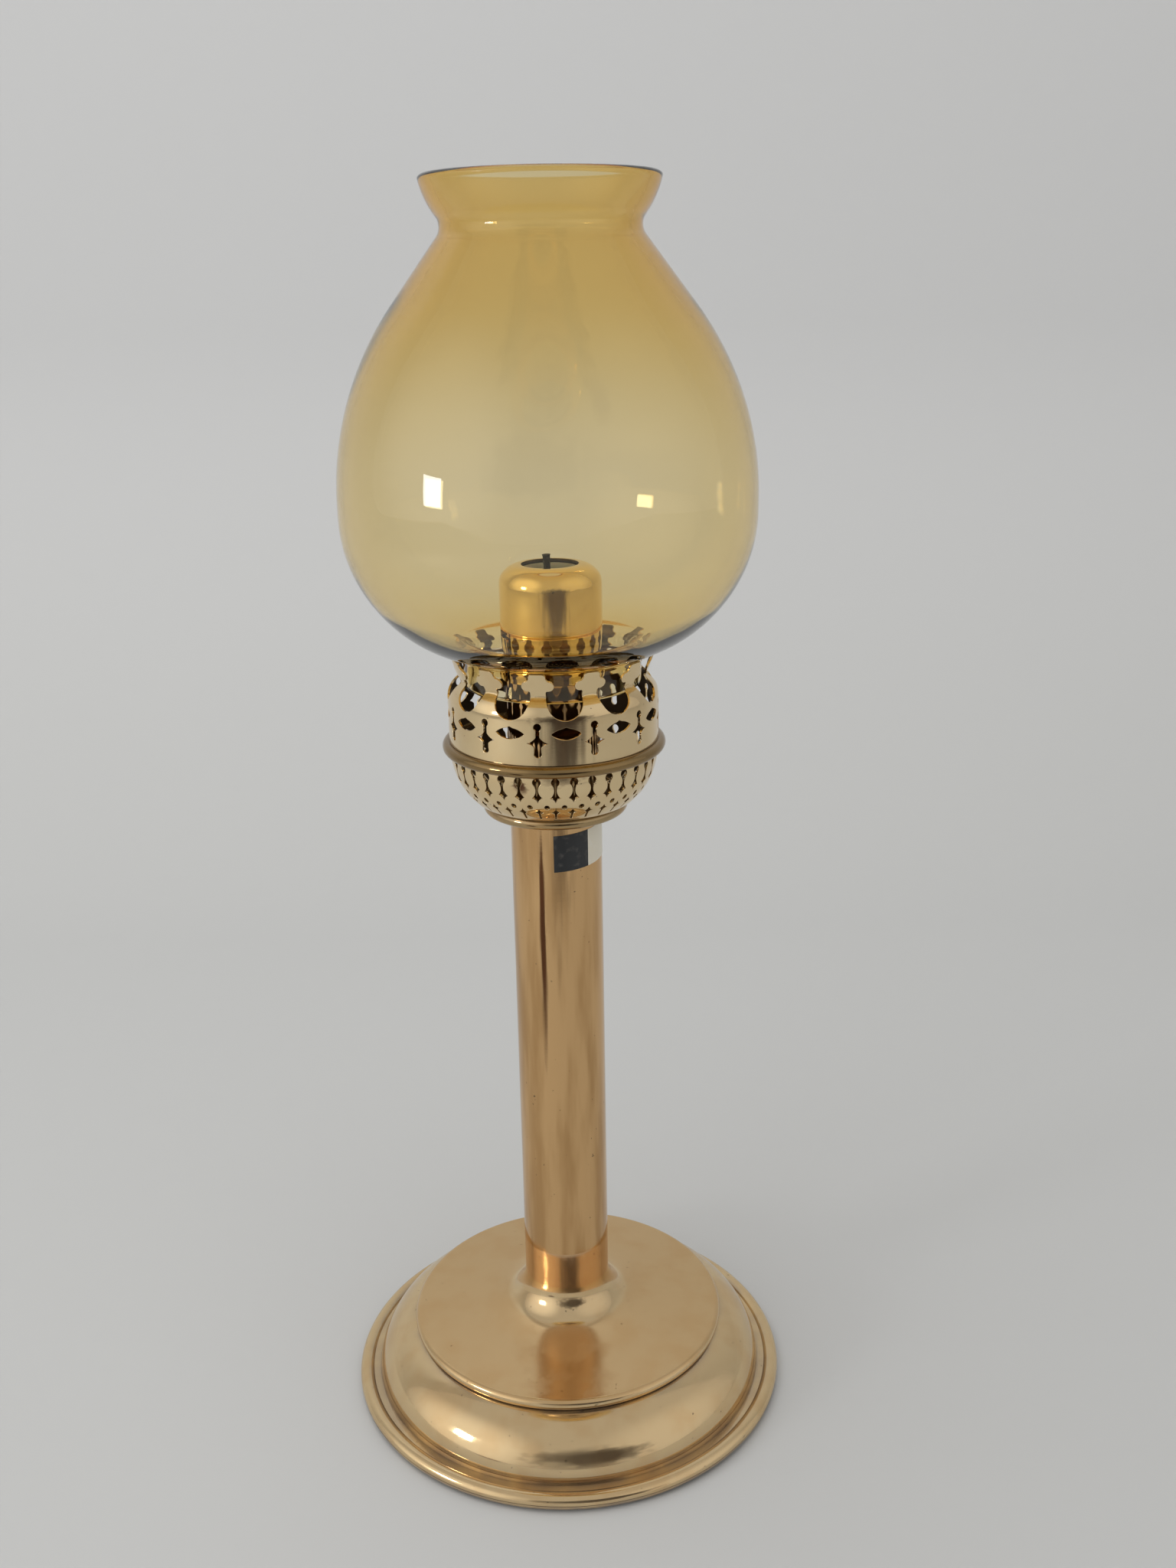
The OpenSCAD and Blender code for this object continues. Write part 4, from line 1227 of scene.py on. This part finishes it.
def make_stage():
    """Pale floor that sweeps up behind the lamp, and dark cards in front for the metal to mirror."""
    curve = arc((SWEEP_AT, SWEEP_R), SWEEP_R, -90, 0, 5)
    section = [(FLOOR_FRONT, 0)] + curve + [(SWEEP_AT + SWEEP_R, SWEEP_TOP)]
    stage_sheet("floor", section, FLOOR_HALF_W, floor_finish())
    grey = dark_card("dark_card", CARD_REACH, CARD_SOFT, CARD_TONES)
    card = stage_sheet("dark_card", CARD_SECTION, CARD_REACH[0], grey)
    card.location = CARD_AT
    brown = dark_card("brown_strip", STRIP_REACH, STRIP_SOFT, STRIP_TONES)
    strip = stage_sheet("brown_strip", ((-STRIP_REACH[1], 0), (STRIP_REACH[1], 0)), STRIP_REACH[0], brown)
    strip.location = STRIP_AT
    strip.rotation_euler.z = atan2(STRIP_AT[0], -STRIP_AT[1])
    for hidden in (card, strip):
        hidden.visible_camera = hidden.visible_diffuse = hidden.visible_shadow = False


def area_light(name, at, aim, size, power, shows=True):
    """Rectangular soft light at a place, facing another; metal and glass mirror it where it shows."""
    lamp = bpy.data.lights.new(name, "AREA")
    lamp.shape = "RECTANGLE"
    lamp.size, lamp.size_y = size
    lamp.energy = power
    holder = bpy.data.objects.new(name, lamp)
    holder.location = at
    holder.rotation_euler = (Vector(aim) - Vector(at)).to_track_quat("-Z", "Y").to_euler()
    holder.visible_glossy = holder.visible_transmission = shows
    bpy.context.scene.collection.objects.link(holder)


def make_light():
    """Pale surroundings, a small window on the left and a soft box overhead.

    The surroundings glow on both sides where they light the lamp or are mirrored, and are plain where seen.
    """
    world = bpy.data.worlds.new("surroundings")
    world.use_nodes = True
    sky = Nodes(world.node_tree)
    direction = sky.nodes.new("ShaderNodeTexCoord").outputs["Generated"]
    glows = []
    for middle, level in ((WINDOW_AT, WINDOW_GLOW), (SIDE_GLOW_AT, SIDE_GLOW)):
        towards = sky.vector("DOT_PRODUCT", direction, Vector(middle).normalized())
        glows.append(sky.ramp(towards, GLOW_FROM, 1, WORLD_LIGHT, level))
    path = sky.nodes.new("ShaderNodeLightPath").outputs
    bounced = sky.math("ADD", path["Glossy Depth"], path["Diffuse Depth"])
    glow = sky.math("MAXIMUM", *glows, clamp=False)
    background = sky.nodes["Background"]
    sky.feed(background.inputs["Color"], WORLD_TINT)
    sky.feed(background.inputs["Strength"], sky.ramp(bounced, 0, 1, BACKDROP_LIGHT, glow))
    bpy.context.scene.world = world
    area_light("window", WINDOW_AT, WINDOW_AIM, WINDOW_SIZE, WINDOW_POWER)
    area_light("overhead", OVERHEAD_AT, OVERHEAD_AIM, OVERHEAD_SIZE, OVERHEAD_POWER, shows=False)


def make_camera():
    """Camera where the photograph was taken from."""
    lens = bpy.data.cameras.new("camera")
    lens.lens = CAMERA_LENS
    lens.sensor_width = CAMERA_SENSOR
    lens.clip_start = CAMERA_NEAR
    place = Matrix.Translation(CAMERA_AT)
    for turn, axis in ((-CAMERA_YAW, "Z"), (90 - CAMERA_PITCH, "X"), (CAMERA_ROLL, "Z")):
        place = place @ Matrix.Rotation(radians(turn), 4, axis)
    camera = bpy.data.objects.new("camera", lens)
    camera.matrix_world = place
    bpy.context.scene.collection.objects.link(camera)
    bpy.context.scene.camera = camera


# Assembly


def dress(material, *nodes):
    """Gives solids of the frame their finish."""
    for node in nodes:
        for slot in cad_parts[node].material_slots:
            slot.material = material


def stand_for(piece, node, body):
    """Puts a piece in the place of a solid."""
    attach(piece, body)
    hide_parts(node)


def build_lamp():
    """All the pieces, each on the body it moves with."""
    deck = [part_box("foot")[1].z - depth * MM for depth in DECK_SATIN]
    foot_brass = brass("foot_brass", polish=0.08, haze=0.08, stain_and_shade=0.85, satin=deck, dust=0.08, brushed=0.6)
    gallery_brass = brass(
        "gallery_brass", tone=(0.80, 0.62, 0.36, 1), polish=0.04, haze=0.05, patina=0.15, soot=0.92
    )
    tube_brass = brass(
        "tube_brass", tone=(0.70, 0.445, 0.212, 1), patina=0.6, polish=0.06, haze=0.07,
        worn=(0.42, 0.235, 0.09, 1), cloud=0.006, stretch=(1, 1, 0.12),
    )
    # Painted shade: the collar's and pins' brass is aged and also given a darker tone for the shade and dark
    # reflections on them
    aged_shaded_brass = brass("aged_shaded_brass", tone=(0.42, 0.30, 0.15, 1), polish=0.08, patina=0.4, stain_and_shade=0.4)
    # Painted shade: the bead's brass is a darker copy of the gallery's, for the shade and dark reflections on
    # it
    shaded_bead_brass = brass(
        "shaded_bead_brass", tone=(0.30, 0.20, 0.09, 1), polish=0.08, patina=0.4, stain_and_shade=0.1,
        worn=(0.22, 0.14, 0.06, 1),
    )
    bright = brass("bright_brass", tone=(0.72, 0.49, 0.28, 1), polish=0.06, haze=0.05, patina=0.2, dust=0.08)
    cap_brass = brass("cap_brass", tone=(0.95, 0.71, 0.31, 1), polish=0.07, haze=0.05, patina=0.2, soot=0.92)
    plated = steel("plated_steel")
    dress(tube_brass, "candle_tube", "follower")
    dress(foot_brass, "base_plate")
    dress(aged_shaded_brass, "gallery_collar", "bayonet_pins")
    dress(shaded_bead_brass, "gallery_bead")
    dress(bright, "ferrule")
    dress(plated, "stud", "washer", "nut")
    dress(cast_iron(), "ballast")
    dress(felt(), "felt_pad")
    foot = lathe("spun_foot", foot_outline(), foot_brass, segments=300)
    stand_for(foot, "foot", "stand")
    stand_for(gallery_bowl(gallery_brass), "gallery_bowl", "stand")
    stand_for(gallery_crown(gallery_brass), "gallery_crown", "stand")
    stand_for(candle_cap(cap_brass), "candle_cap", "cap")
    stand_for(candle(wax()), "candle", "candle")
    stand_for(wick(charred_wick()), "wick", "candle")
    stand_for(glass_shade(amber_glass()), "glass_shade", "shade")
    coil = spring(plated)
    stand_for(coil, "spring", "stand")
    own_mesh(coil)
    dark = paper("dark_paper", (0.020, 0.022, 0.024, 1), (0.12, 0.11, 0.10, 1))
    cream = paper("cream_paper", (0.80, 0.75, 0.62, 1), (0.86, 0.83, 0.74, 1))
    for name, turns, sheet in (
        ("sticker_dark", STICKER_TURNS[:2], dark),
        ("sticker_cream", STICKER_TURNS[1:], cream),
    ):
        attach(sticker(name, turns, sheet), "stand")


make_camera()
make_stage()
make_light()
build_lamp()
bpy.context.scene.view_settings.view_transform = "Standard"
